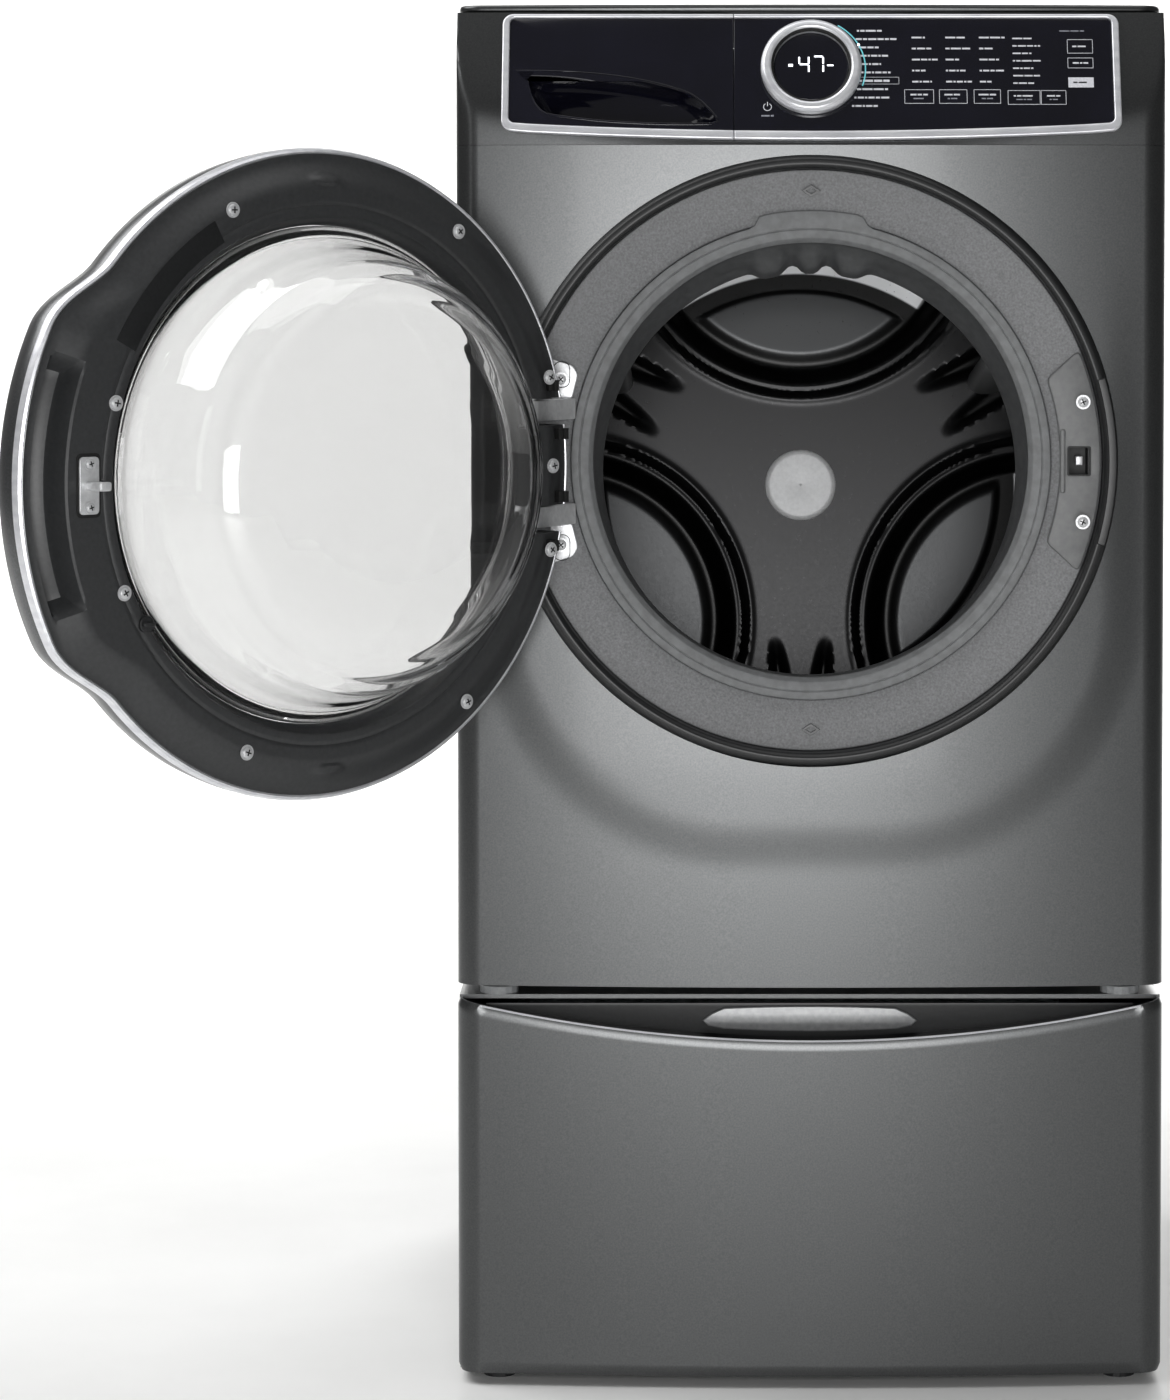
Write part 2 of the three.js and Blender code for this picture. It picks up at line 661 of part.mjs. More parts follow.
function services() {
  const back = depth + gap;
  const low = topLevel - 90;
  const inlets = join(
    block(140, 250, back, back + 10, low, low + 40),
    rod([168, back + 5, low + 20], [168, back + 26, low + 20], 12.5, 20),
    rod([222, back + 5, low + 20], [222, back + 26, low + 20], 12.5, 20),
  );
  put(machine, "water_inlet_valves", inlets, "tub");
  const outlet = cut(
    rod([-220, back, low + 20], [-220, back + 28, low + 20], 17, 20),
    rod([-220, back + 4, low + 20], [-220, back + 29, low + 20], 13, 20),
  );
  put(machine, "drain_outlet", outlet, "blackPlastic");
  const gland = block(-130, -90, back, back + 9, low + 6, low + 34);
  put(machine, "power_cord_inlet", gland, "blackPlastic");
}

// Pedestal

function pedestal() {
  const side = width / 2;
  const front = bow + cornerRadius + 4;
  let carcass = hollow(-side, side, front, depth, pedestalBase, pedestalTop, 4, true);
  for (const way of [-1, 1]) {
    const near = way * (drawerBoxHalf + 1);
    const far = way * (side - 2);
    const rail = block(Math.min(near, far), Math.max(near, far), front + 20, depth - 60, 150, 190);
    carcass = carcass.add(rail);
  }
  put(machine, "pedestal_carcass", carcass, "titanium");
  const low = pedestalBase + 2;
  const panel = planSolid(0, 0, front - gap, low, pedestalTop - 1);
  const dip = new THREE.Shape();
  const steps = 12;
  dip.moveTo(-side - 1, pedestalTop + 9);
  for (let i = 0; i <= steps; i++) {
    const x = -side - 1 + (2 * (side + 1) * i) / steps;
    dip.lineTo(x, pedestalTop - 1 - drawerEdge * (1 - (x / (side + 1)) ** 2));
  }
  dip.lineTo(side + 1, pedestalTop + 9);
  const inner = planSolid(4, 4, reach, low + 4, pedestalTop - drawerEdge - 30);
  const pull = block(-105, 105, 14, reach, pedestalTop - drawerEdge - 26, pedestalTop + 9);
  const face = cut(panel, facing(dip, -reach, reach), inner, pull);
  put(machine, "pedestal_drawer_front", face, "titanium");
  const box = hollow(-drawerBoxHalf, drawerBoxHalf, front + gap, depth - 40, 40, 300, 3);
  put(machine, "pedestal_drawer_box", box, "zinc");
}

frontPanel();
cabinetWrap();
topPanel();
basePan();
feet();
consoleSurround();
consoleFace();
dispenser();
opening();
doorLock();
door();
hingeBracket("hinge_bracket_upper", 1);
hingeBracket("hinge_bracket_lower", -1);
tub();
drum();
drive();
suspension();
services();
pedestal();

// The origin goes under the middle of the bounding box.
root.updateMatrixWorld(true);
const bounds = new THREE.Box3().setFromObject(root, true);
machine.position.set(-(bounds.min.x + bounds.max.x) / 2, -(bounds.min.y + bounds.max.y) / 2, -bounds.min.z);

export default root;
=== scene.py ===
import json
import math

import bmesh
import bpy
from mathutils import Matrix, Vector


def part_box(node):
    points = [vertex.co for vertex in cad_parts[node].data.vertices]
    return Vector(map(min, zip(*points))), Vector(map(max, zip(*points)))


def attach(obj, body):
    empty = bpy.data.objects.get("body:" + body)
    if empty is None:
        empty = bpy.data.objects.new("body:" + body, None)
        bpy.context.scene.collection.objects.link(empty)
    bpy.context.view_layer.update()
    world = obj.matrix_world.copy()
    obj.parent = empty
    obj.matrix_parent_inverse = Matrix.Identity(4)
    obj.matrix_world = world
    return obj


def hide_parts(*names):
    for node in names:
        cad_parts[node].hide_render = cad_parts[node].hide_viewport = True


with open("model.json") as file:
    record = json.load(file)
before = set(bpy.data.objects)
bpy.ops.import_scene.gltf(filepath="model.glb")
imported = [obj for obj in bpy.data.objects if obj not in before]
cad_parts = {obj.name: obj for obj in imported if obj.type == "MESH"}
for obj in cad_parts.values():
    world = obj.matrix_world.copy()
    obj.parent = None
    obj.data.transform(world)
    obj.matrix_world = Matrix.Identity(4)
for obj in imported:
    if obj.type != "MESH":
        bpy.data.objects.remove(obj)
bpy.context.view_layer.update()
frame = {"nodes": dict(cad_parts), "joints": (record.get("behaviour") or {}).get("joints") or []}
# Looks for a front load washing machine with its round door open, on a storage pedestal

mm = 0.001

# Places that everything hangs on, read from the frame
panelLow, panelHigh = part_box("front_panel")
halfWidth = (panelHigh.x - panelLow.x) / 2 / mm
panelBase = panelLow.z / mm
panelTop = panelHigh.z / mm
joints = {joint["name"]: joint for joint in frame["joints"]}
machineAt = Matrix.Translation(((panelLow.x + panelHigh.x) / 2, panelLow.y, 0))


def jointAt(name, turn, axis):
    return Matrix.Translation(joints[name]["pos_m"]) @ Matrix.Rotation(turn, 4, axis)


drumTilt = math.asin(-joints["drum_spin"]["axis"][2])
consoleTilt = math.asin(joints["dial_turn"]["axis"][2])
doorOpen = math.radians(joints["door_hinge"]["range_deg"][1])
washAt = jointAt("drum_spin", -drumTilt, "X")
dialAt = jointAt("dial_turn", math.pi / 2 - consoleTilt, "X")
doorAt = jointAt("door_hinge", -doorOpen, "Z")
openingZ = joints["door_hinge"]["pos_m"][2] / mm
openingAt = machineAt @ Matrix.Translation((0, 0, openingZ * mm))
print("frame read")


# Small tools

def addNode(tree, kind, settings=None, **inputs):
    made = tree.nodes.new(kind)
    for name, value in (settings or {}).items():
        setattr(made, name, value)
    for name, value in inputs.items():
        key = int(name[1:]) if name[0] == "i" and name[1:].isdigit() else name.replace("_", " ")
        if isinstance(value, bpy.types.NodeSocket):
            tree.links.new(value, made.inputs[key])
        else:
            made.inputs[key].default_value = value
    return made


def linear(hexText):
    parts = [int(hexText[i:i + 2], 16) / 255 for i in (1, 3, 5)]
    return [p / 12.92 if p <= 0.04045 else ((p + 0.055) / 1.055) ** 2.4 for p in parts] + [1]


def smooth(low, high, value):
    t = min(1, max(0, (value - low) / (high - low)))
    return t * t * (3 - 2 * t)


def addMesh(name, verts, faces, at, material, body, replaces=(), sharp=32, weld=True):
    mesh = bpy.data.meshes.new(name)
    mesh.from_pydata([(at @ (Vector(v) * mm))[:] for v in verts], [], faces)
    return finishMesh(name, mesh, material, body, replaces, sharp, weld)


def finishMesh(name, mesh, material, body, replaces=(), sharp=32, weld=True):
    if weld:
        work = bmesh.new()
        work.from_mesh(mesh)
        bmesh.ops.remove_doubles(work, verts=work.verts, dist=2e-6)
        bmesh.ops.recalc_face_normals(work, faces=work.faces)
        work.to_mesh(mesh)
        work.free()
    mesh.polygons.foreach_set("use_smooth", [True] * len(mesh.polygons))
    mesh.set_sharp_from_angle(angle=math.radians(sharp))
    piece = bpy.data.objects.new(name, mesh)
    bpy.context.scene.collection.objects.link(piece)
    if material:
        mesh.materials.clear()
        mesh.materials.append(material)
    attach(piece, body)
    if replaces:
        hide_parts(*replaces)
    return piece


# A modifier's result, kept as a plain mesh
def settle(piece, kind, **settings):
    modifier = piece.modifiers.new(kind.title(), kind)
    for name, value in settings.items():
        setattr(modifier, name, value)
    graph = bpy.context.evaluated_depsgraph_get()
    piece.data = bpy.data.meshes.new_from_object(piece.evaluated_get(graph))
    piece.modifiers.clear()
    piece.data.set_sharp_from_angle(angle=math.radians(32))
    return piece


# Quads over rows and columns of points, closed round in either direction
def gridFaces(rows, columns, closeRows=False, closeColumns=False):
    faces = []
    for i in range(rows if closeRows else rows - 1):
        for j in range(columns if closeColumns else columns - 1):
            a, b = i * columns, (i + 1) % rows * columns
            k = (j + 1) % columns
            faces.append((a + j, a + k, b + k, b + j))
    return faces


# A section of [radius, y] points carried round the Y axis; section(angle) may change with the angle
def sweep(section, count=192, middle=(0, 0, 0), closed=True):
    verts = []
    for i in range(count):
        angle = 2 * math.pi * i / count
        for r, y in section(angle):
            verts.append((middle[0] + r * math.cos(angle), middle[1] + y, middle[2] + r * math.sin(angle)))
    columns = len(verts) // count
    return verts, gridFaces(count, columns, True, closed)


# Rounds the corners of a closed run of points, so a section has soft edges
def rounded(points, radius, steps=4):
    out = []
    for i, p in enumerate(points):
        here = Vector(p)
        back, ahead = Vector(points[i - 1]) - here, Vector(points[(i + 1) % len(points)]) - here
        cut = min(radius, back.length * 0.45, ahead.length * 0.45)
        start, end = here + back.normalized() * cut, here + ahead.normalized() * cut
        for k in range(steps + 1):
            t = k / steps
            out.append(tuple(start * (1 - t) ** 2 + here * 2 * t * (1 - t) + end * t * t))
    return out


# A flat plate with soft edges between two heights, from closed outlines in x and y
def plate(name, outlines, low, high, bevel, at, material, body, replaces=(), steps=3):
    curve = bpy.data.curves.new(name, "CURVE")
    curve.dimensions = "2D"
    curve.fill_mode = "BOTH"
    curve.extrude = (high - low) / 2 - bevel
    curve.bevel_depth = bevel
    curve.bevel_resolution = steps
    curve.offset = -bevel
    for outline in outlines:
        spline = curve.splines.new("POLY")
        spline.points.add(len(outline) - 1)
        for point, (x, y) in zip(spline.points, outline):
            point.co = (x, y, 0, 1)
        spline.use_cyclic_u = True
    holder = bpy.data.objects.new(name + "Curve", curve)
    bpy.context.scene.collection.objects.link(holder)
    graph = bpy.context.evaluated_depsgraph_get()
    mesh = bpy.data.meshes.new_from_object(holder.evaluated_get(graph))
    bpy.data.objects.remove(holder)
    lift = Matrix.Translation((0, 0, (low + high) / 2))
    mesh.transform(at @ Matrix.Scale(mm, 4) @ lift)
    mesh.name = name
    return finishMesh(name, mesh, material, body, replaces)


def arc(x, y, radius, start, end, steps):
    return [(x + radius * math.cos(start + (end - start) * i / steps),
             y + radius * math.sin(start + (end - start) * i / steps)) for i in range(steps + 1)]


def roundedBox(width, height, radius, x=0, y=0):
    w, h = width / 2 - radius, height / 2 - radius
    quarter = math.pi / 2
    return (arc(x + w, y + h, radius, 0, quarter, 5) + arc(x - w, y + h, radius, quarter, 2 * quarter, 5)
            + arc(x - w, y - h, radius, 2 * quarter, 3 * quarter, 5)
            + arc(x + w, y - h, radius, 3 * quarter, 4 * quarter, 5))


facingFront = Matrix.Rotation(math.pi / 2, 4, "X")  # x and y drawn as x and z, height towards the front
facingInside = Matrix.Rotation(-math.pi / 2, 4, "X")  # the same for the door's inner face, height towards +y

print("tools ready")


# Materials

finish = {}


# Colour varies between two hex values over the grain, with roughness and relief of their own
def surface(name, low, high, grain, rough, metallic=0.0, relief=0.0, reliefGrain=1.0, stretch=(1, 1, 1),
            coat=0.0, sheen=0.0, specular=0.5):
    made = bpy.data.materials.new(name)
    made.use_nodes = True
    tree = made.node_tree
    tree.nodes.clear()
    coords = addNode(tree, "ShaderNodeTexCoord")
    mapping = addNode(tree, "ShaderNodeMapping", Vector=coords.outputs["Object"], Scale=stretch)
    where = mapping.outputs["Vector"]
    broad = addNode(tree, "ShaderNodeTexNoise", Vector=where, Scale=1 / (grain * mm), Detail=5.0)
    ramp = addNode(tree, "ShaderNodeValToRGB", Fac=broad.outputs["Fac"])
    ramp.color_ramp.elements[0].position = 0.3
    ramp.color_ramp.elements[1].position = 0.7
    ramp.color_ramp.elements[0].color = linear(low)
    ramp.color_ramp.elements[1].color = linear(high)
    fine = addNode(tree, "ShaderNodeTexNoise", Vector=where, Scale=1 / (reliefGrain * mm), Detail=3.0)
    spread = addNode(tree, "ShaderNodeMapRange", Value=fine.outputs["Fac"], To_Min=rough[0], To_Max=rough[1])
    bump = addNode(tree, "ShaderNodeBump", Height=fine.outputs["Fac"], Strength=0.6, Distance=relief * mm)
    shader = addNode(tree, "ShaderNodeBsdfPrincipled", Base_Color=ramp.outputs["Color"], Metallic=metallic,
                     Roughness=spread.outputs["Result"], Normal=bump.outputs["Normal"], Coat_Weight=coat,
                     Coat_Roughness=0.08, Sheen_Weight=sheen, Specular_IOR_Level=specular)
    addNode(tree, "ShaderNodeOutputMaterial", Surface=shader.outputs["BSDF"])
    finish[name] = made
    return made


# Clear moulded or tempered glass with faint smears
def glass(name, tint, rough):
    made = bpy.data.materials.new(name)
    made.use_nodes = True
    tree = made.node_tree
    tree.nodes.clear()
    coords = addNode(tree, "ShaderNodeTexCoord")
    smear = addNode(tree, "ShaderNodeTexNoise", Vector=coords.outputs["Object"], Scale=14.0, Detail=4.0)
    spread = addNode(tree, "ShaderNodeMapRange", Value=smear.outputs["Fac"], To_Min=rough[0], To_Max=rough[1])
    shader = addNode(tree, "ShaderNodeBsdfPrincipled", Base_Color=linear(tint), Transmission_Weight=1.0,
                     Roughness=spread.outputs["Result"], IOR=1.47)
    addNode(tree, "ShaderNodeOutputMaterial", Surface=shader.outputs["BSDF"])
    finish[name] = made
    return made


# Lit characters behind the display window
def glow(name, tint, strength):
    made = surface(name, tint, tint, 5, (0.4, 0.5))
    shader = made.node_tree.nodes["Principled BSDF"]
    shader.inputs["Emission Color"].default_value = linear(tint)
    shader.inputs["Emission Strength"].default_value = strength
    return made


# Metallic enamel on sheet steel: dark grey flakes under a clear coat, satin from a metre away
surface("titaniumEnamel", "#4d4e4f", "#585959", 1.6, (0.27, 0.34), metallic=0.92, relief=0.02, reliefGrain=1.2,
        coat=0.12)
# The same enamel on the door rim's moulding
surface("rimEnamel", "#5a5b5c", "#6c6d6e", 1.6, (0.26, 0.34), metallic=0.85, relief=0.02,
        reliefGrain=1.2, coat=0.2)
# Bright trim: chromed ABS with a slight satin drag
surface("satinChrome", "#d6d7dc", "#eeeff2", 8, (0.26, 0.36), metallic=0.55, relief=0.01, reliefGrain=0.8,
        stretch=(0.2, 1, 1))
# Polished zinc plate on the hinge and strike, a little scuffed
surface("platedSteel", "#b9babc", "#cccdce", 5, (0.26, 0.36), metallic=0.3, relief=0.01, reliefGrain=3)
# Gloss acrylic face, navy black, nearly a mirror
surface("pianoAcrylic", "#0b0b14", "#10101b", 60, (0.05, 0.09), relief=0.003, reliefGrain=30, coat=0.6)
# Moulded ABS of the black recess ring
surface("satinBlackAbs", "#101112", "#1a1b1c", 3, (0.34, 0.46), relief=0.03, reliefGrain=0.9)
# Spark-eroded grain on grey polypropylene round the opening, drawn a little coarse so that it shows
surface("grainedGreyPlastic", "#606162", "#7c7d7f", 2.2, (0.42, 0.6), relief=0.35, reliefGrain=1.5)
# Smooth lock plate of the same grey
surface("smoothGreyPlastic", "#5e5f60", "#686969", 6, (0.4, 0.5), relief=0.05, reliefGrain=0.9)
# Moulded strip on the pedestal drawer's top edge, coloured pale grey as a painted reflection on its dark gloss
# plastic
surface("scoopReflectionGrey", "#6c6d6e", "#7a7b7c", 5, (0.2, 0.3), metallic=0.2, relief=0.02, reliefGrain=0.9, coat=0.3)
# Charcoal ABS of the door's inner ring, fine spark finish
surface("charcoalAbs", "#2b2c2d", "#343536", 4, (0.36, 0.46), relief=0.04, reliefGrain=0.8)
# Grey EPDM bellows with a dusty bloom
surface("greyEpdm", "#68696a", "#787a7b", 9, (0.5, 0.66), relief=0.06, reliefGrain=1.4, sheen=0.1)
# The same rubber painted darker where the fold runs back: painted shade inside the opening
surface("shadedFoldEpdm", "#3f4041", "#4c4d4e", 9, (0.42, 0.55), relief=0.06, reliefGrain=1.6)
# Stainless drum, cold rolled, with faint turning marks
surface("stainlessDrum", "#8f9193", "#c9cbcc", 12, (0.16, 0.3), metallic=1.0, relief=0.02, reliefGrain=1.2,
        stretch=(1, 0.15, 1))
# The drum's pressed back, dark from the shade inside, with a polished skin
backSteel = surface("pressedBack", "#0d0d0e", "#1e1e1f", 30, (0.24, 0.36), metallic=0.6, relief=0.02,
                    reliefGrain=3)
# Tones along this ramp are painted shade and light on the one steel pressing: near-black banks and pockets for shade,
# grey dishes for a painted reflection, the pale rim for a painted highlight
shadeAndHighlightRamp = backSteel.node_tree.nodes["Color Ramp"]
shadeAndHighlight = addNode(backSteel.node_tree, "ShaderNodeAttribute", {"attribute_name": "shadeAndHighlight"})
backSteel.node_tree.links.new(shadeAndHighlight.outputs["Fac"], shadeAndHighlightRamp.inputs["Fac"])
shadeAndHighlightTints = {0.25: "#1a1a1b", 0.4: "#050505", 0.55: "#060606", 0.75: "#363738", 1.0: "#d2d3d4"}
for place, tint in shadeAndHighlightTints.items():
    shadeAndHighlightRamp.color_ramp.elements.new(place).color = linear(tint)
shadeAndHighlightRamp.color_ramp.elements[0].position = 0.0
# Brushed hub plate in the middle of the back
surface("hubSteel", "#cdcecf", "#dbdcdd", 4, (0.4, 0.55), metallic=0.15, relief=0.03, reliefGrain=0.8)
# Die-cast aluminium
surface("castAluminium", "#8e9193", "#aeb1b3", 6, (0.38, 0.55), metallic=0.9, relief=0.12, reliefGrain=1.2)
# Hot-dip galvanised sheet with soft spangles
surface("galvanisedSheet", "#7f8487", "#a9adb0", 14, (0.35, 0.55), metallic=0.9, relief=0.02, reliefGrain=6)
# Filled polypropylene, off white
surface("filledPolypropylene", "#b8bbbc", "#cfd1d1", 9, (0.45, 0.6), relief=0.08, reliefGrain=1.5)
# Grey polyamide feet and pump
surface("greyPolyamide", "#8b8d8f", "#a3a5a6", 5, (0.5, 0.62), relief=0.1, reliefGrain=1.2)
# Ribbed black rubber and cable parts
surface("blackMoulding", "#141516", "#1f2021", 5, (0.45, 0.6), relief=0.08, reliefGrain=1.1)
# Cast iron weight with sand texture
surface("sandCastIron", "#55565a", "#6d6e70", 4, (0.7, 0.85), metallic=0.4, relief=0.4, reliefGrain=1.8)
# Solder mask over glass laminate
surface("boardGreen", "#154a2c", "#1f6a40", 3, (0.3, 0.45), relief=0.05, reliefGrain=1.5)
# Screen-printed white ink
surface("printedInk", "#c4c5cc", "#dadbe0", 2, (0.5, 0.6), relief=0.01, reliefGrain=0.6)
surface("dimInk", "#7d7f88", "#8f919a", 2, (0.5, 0.6), relief=0.01, reliefGrain=0.6)
# Dark recess inside slots and screw heads, as painted shade
surface("slotShade", "#050505", "#0a0a0a", 3, (0.6, 0.7), relief=0.02, reliefGrain=1)
glass("bowlGlass", "#ededed", (0.0, 0.02))
glass("windowGlass", "#d2d2d2", (0.0, 0.02))
glow("displayGlow", "#f3f6ff", 2.2)
glow("tealGlow", "#5fb0b8", 0.6)
print("materials ready")


# Cabinet: bowed sheet front with rolled corners and a soft swelling round the door

cabinet = {"bow": 16, "corner": 22, "sheetWall": 2, "returnDepth": 60, "openingRadius": 296.5,
           "swell": 1.8, "swellHalf": (304, 388), "swellMiddle": 14, "swellCorner": 235, "swellBlend": 24}


def bowAt(x):
    return cabinet["bow"] * (x / halfWidth) ** 2


def swellAt(x, z):
    across, along = cabinet["swellHalf"]
    corner = cabinet["swellCorner"]
    dx = max(abs(x) - across + corner, 0)
    dz = max(abs(z - cabinet["swellMiddle"]) - along + corner, 0)
    inside = corner - math.hypot(dx, dz)
    fade = 1 - smooth(-60, 240, z)
    return cabinet["swell"] * fade * smooth(-cabinet["swellBlend"], cabinet["swellBlend"], inside)


# Plan outline from the left return round the front to the right return
def planPath(front=0, back=60, steps=96):
    corner = cabinet["corner"]
    flat = halfWidth - corner
    turn = front + bowAt(flat) + corner
    left = [(-halfWidth, back), (-halfWidth, (back + turn) / 2)]
    left += arc(-flat, turn, corner, math.pi, 1.5 * math.pi, 9)
    across = [-flat + 2 * flat * i / steps for i in range(1, steps)]
    middle = [(x, front + bowAt(x)) for x in across]
    right = [(-x, y) for x, y in reversed(left)]
    return left + middle + right


def makeFrontPanel():
    corner, radius = cabinet["corner"], cabinet["openingRadius"]
    flat = halfWidth - corner
    low, high = panelBase - openingZ, panelTop - openingZ
    count, rings = 84, 30
    edge = [(-flat + 2 * flat * i / count, low) for i in range(count)]
    edge += [(flat, low + (high - low) * i / count) for i in range(count)]
    edge += [(flat - 2 * flat * i / count, high) for i in range(count)]
    edge += [(-flat, high - (high - low) * i / count) for i in range(count)]
    verts = []
    for ex, ez in edge:
        length = math.hypot(ex, ez)
        for k in range(rings + 1):
            t = k / rings
            reach = radius + (length - radius) * t
            x, z = ex / length * reach, ez / length * reach
            verts.append((x, bowAt(x) - swellAt(x, z), z))
    faces = gridFaces(len(edge), rings + 1, True)
    turn = bowAt(flat) + corner
    wrap = arc(flat, turn, corner, -math.pi / 2, 0, 9) + [(halfWidth, cabinet["returnDepth"])]
    for side in (1, -1):
        start = len(verts)
        for i in range(count + 1):
            z = low + (high - low) * i / count
            for j, (x, y) in enumerate(wrap):
                verts.append((side * x, y - (swellAt(flat, z) if j == 0 else 0), z))
        columns = len(wrap)
        faces += [tuple(start + v for v in face) for face in gridFaces(count + 1, columns)]
    piece = addMesh("frontPanel", verts, faces, openingAt, finish["titaniumEnamel"], "cabinet", ["front_panel"])
    settle(piece, "SOLIDIFY", thickness=cabinet["sheetWall"] * mm, offset=0)


def cutWith(piece, cutter):
    settle(piece, "BOOLEAN", object=cutter, operation="DIFFERENCE", solver="EXACT")
    bpy.data.objects.remove(cutter)


def makeSurround():
    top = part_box("console_surround")[1].z / mm
    low = panelTop + 0.3
    rows = 44
    slope = math.tan(consoleTilt)
    verts = []
    path = planPath(0, 95)
    for i in range(rows + 1):
        z = low + (top - low) * i / rows
        for x, y in path:
            lean = (z - panelTop) * slope
            soft = 5
            verts.append((x, (y + lean + math.sqrt((y - lean) ** 2 + soft ** 2)) / 2, z))
    faces = gridFaces(rows + 1, len(path))
    piece = addMesh("consoleSurround", verts, faces, machineAt, finish["titaniumEnamel"], "cabinet",
                    ["console_surround"])
    settle(piece, "SOLIDIFY", thickness=cabinet["sheetWall"] * mm, offset=0)
    room = sidePath((4, 3, 5), "left") + sidePath((4, 3, 5), "right")[::-1]
    cutter = plate("roomCutter", [room], -40, 20, 0.1, consoleAt, None, "cabinet", steps=0)
    cutWith(piece, cutter)


def makeTopPanel():
    low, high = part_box("top_panel")
    back = (high.y - panelLow.y) / mm
    front = (low.y - panelLow.y) / mm
    plate("topPanel", [planPath(front, back, 60)], low.z / mm, high.z / mm, 3.4, machineAt,
          finish["titaniumEnamel"], "cabinet", ["top_panel"], steps=4)


# Console: a leaning face in a bright frame, split between the drawer's front and the controls

console = {"halfSpan": halfWidth - 44, "low": 4, "sag": 9, "dialHeight": 79, "split": -75, "corner": 11,
           "frame": (7, 4, 9), "dialRadius": 49, "windowRadius": 35.7}
console["high"] = (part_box("console_surround")[1].z / mm - panelTop) / math.cos(consoleTilt) - 3
consoleAt = dialAt @ Matrix.Translation((0, -console["dialHeight"] * mm, 0))


# One side of the frame's outline, from the split at the top round to the split at the bottom
def sidePath(inset, side, gap=0.0):
    sideInset, topInset, bottomInset = inset
    half = console["halfSpan"] - sideInset
    high = console["high"] - topInset
    radius = console["corner"] - min(sideInset, 5)
    sign = -1 if side == "left" else 1
    split = console["split"] + sign * gap

    def lowAt(x):
        return console["low"] + bottomInset + console["sag"] * (x / console["halfSpan"]) ** 2

    quarter = math.pi / 2
    corner = arc(half - radius, high - radius, radius, quarter, 0, 8)
    corner += arc(half - radius, lowAt(half) + radius, radius, 0, -quarter, 8)
    bottom = [half - radius - (half - radius - sign * split) * i / 16 for i in range(1, 17)]
    points = [(sign * x, y) for x, y in corner] + [(sign * x, lowAt(x)) for x in bottom]
    return [(split, high)] + points


def circle(radius, count=96, x=0, y=0):
    return arc(x, y, radius, 0, 2 * math.pi * (1 - 1 / count), count - 1)


# The pull's outline: a long pocket with a sweep down at its right
def pullOutline(grow=0.0):
    left, right = -console["halfSpan"] + 16, console["split"] - 16
    middle = (left + right) / 2
    legs = [((left - grow, 75 + grow), (middle, 76 + grow), (right - 39, 56 + grow)),
            ((right - 39, 56 + grow), (right - 16, 50 + grow), (right + grow, 24)),
            ((right - 6, 22 - grow), (middle, 20 - grow), (left + 29, 32 - grow)),
            ((left + 29, 32 - grow), (left + 14 - grow, 38), (left + 10 - grow, 66))]
    points = []
    for a, b, c in legs:
        a, b, c = Vector(a), Vector(b), Vector(c)
        for i in range(13):
            t = i / 12
            points.append(tuple(a * (1 - t) ** 2 + b * 2 * t * (1 - t) + c * t * t))
    return points


def makeConsole():
    inset = console["frame"]
    faceInset = tuple(value + 0.3 for value in inset)
    for side, body, name, node in (("left", "dispenser_drawer", "drawerTrim", "drawer_trim"),
                                   ("right", "cabinet", "consoleTrim", "console_trim")):
        outline = sidePath((0, 0, 0), side, 0.3) + sidePath(inset, side, 0.3)[::-1]
        plate(name, [outline], 0.3, 5.2, 1.5, consoleAt, finish["satinChrome"], body, [node], steps=4)
    dialHole = circle(console["windowRadius"] + 0.5, y=console["dialHeight"])
    plate("controlFascia", [sidePath(faceInset, "right", 0.3), dialHole], -3, 3, 0.5, consoleAt,
          finish["pianoAcrylic"], "cabinet", ["control_fascia"])
    plate("drawerFace", [sidePath(faceInset, "left", 0.3), pullOutline()], -3, 3, 0.5, consoleAt,
          finish["pianoAcrylic"], "dispenser_drawer", ["drawer_front"])
    makePull()
    up = Matrix.Rotation(math.pi / 2, 4, "X")
    r = console["dialRadius"]
    ring = [(36.4, 3.5), (r, 3.5), (r, 10.5), (r - 3, 14.6), (r - 8.5, 15), (r - 11, 12), (36.4, 9)]
    ring = rounded(ring, 1.6)
    verts, faces = sweep(lambda angle: ring, 144)
    addMesh("dialRing", verts, faces, dialAt @ up, finish["satinChrome"], "dial", ["dial_ring"])
    # A near-black bead inside the ring: painted shade on its inner bevel
    bead = rounded([(36.5, 9.4), (39.4, 12.4), (38.6, 13.6), (36.5, 11.4)], 0.4)
    verts, faces = sweep(lambda angle: bead, 120)
    addMesh("dialBead", verts, faces, dialAt @ up, finish["slotShade"], "dial")
    plate("displayWindow", [circle(console["windowRadius"])], -3, 8.6, 0.9, dialAt, finish["pianoAcrylic"],
          "cabinet", ["display_lens"])


# The pocket behind the pull narrows as it deepens and ends in a rounded floor
def makePull():
    outline = pullOutline(0.6)
    middle = Vector((sum(p[0] for p in outline) / len(outline), sum(p[1] for p in outline) / len(outline)))
    stages = [(2.2, 1.0), (-2, 0.99), (-9, 0.97), (-17, 0.93), (-23, 0.86), (-26.5, 0.72), (-27.8, 0.4),
              (-28, 0.02)]
    verts = []
    for height, scale in stages:
        for x, y in outline:
            p = middle + (Vector((x, y)) - middle) * scale
            verts.append((p.x, p.y, height))
    faces = gridFaces(len(stages), len(outline), False, True)
    faces.append(tuple(range((len(stages) - 1) * len(outline), len(verts))))
    piece = addMesh("pullPocket", verts, faces, consoleAt, finish["pianoAcrylic"], "dispenser_drawer")
    settle(piece, "SOLIDIFY", thickness=1.2 * mm, offset=0)
    rim = pullOutline(2.4)
    plate("pullLip", [rim, pullOutline(0.2)], 2.6, 3.7, 0.4, consoleAt, finish["pianoAcrylic"],
          "dispenser_drawer")


# Opening

opening = {"recess": 297, "wall": 14, "lip": 233, "mouth": 212}


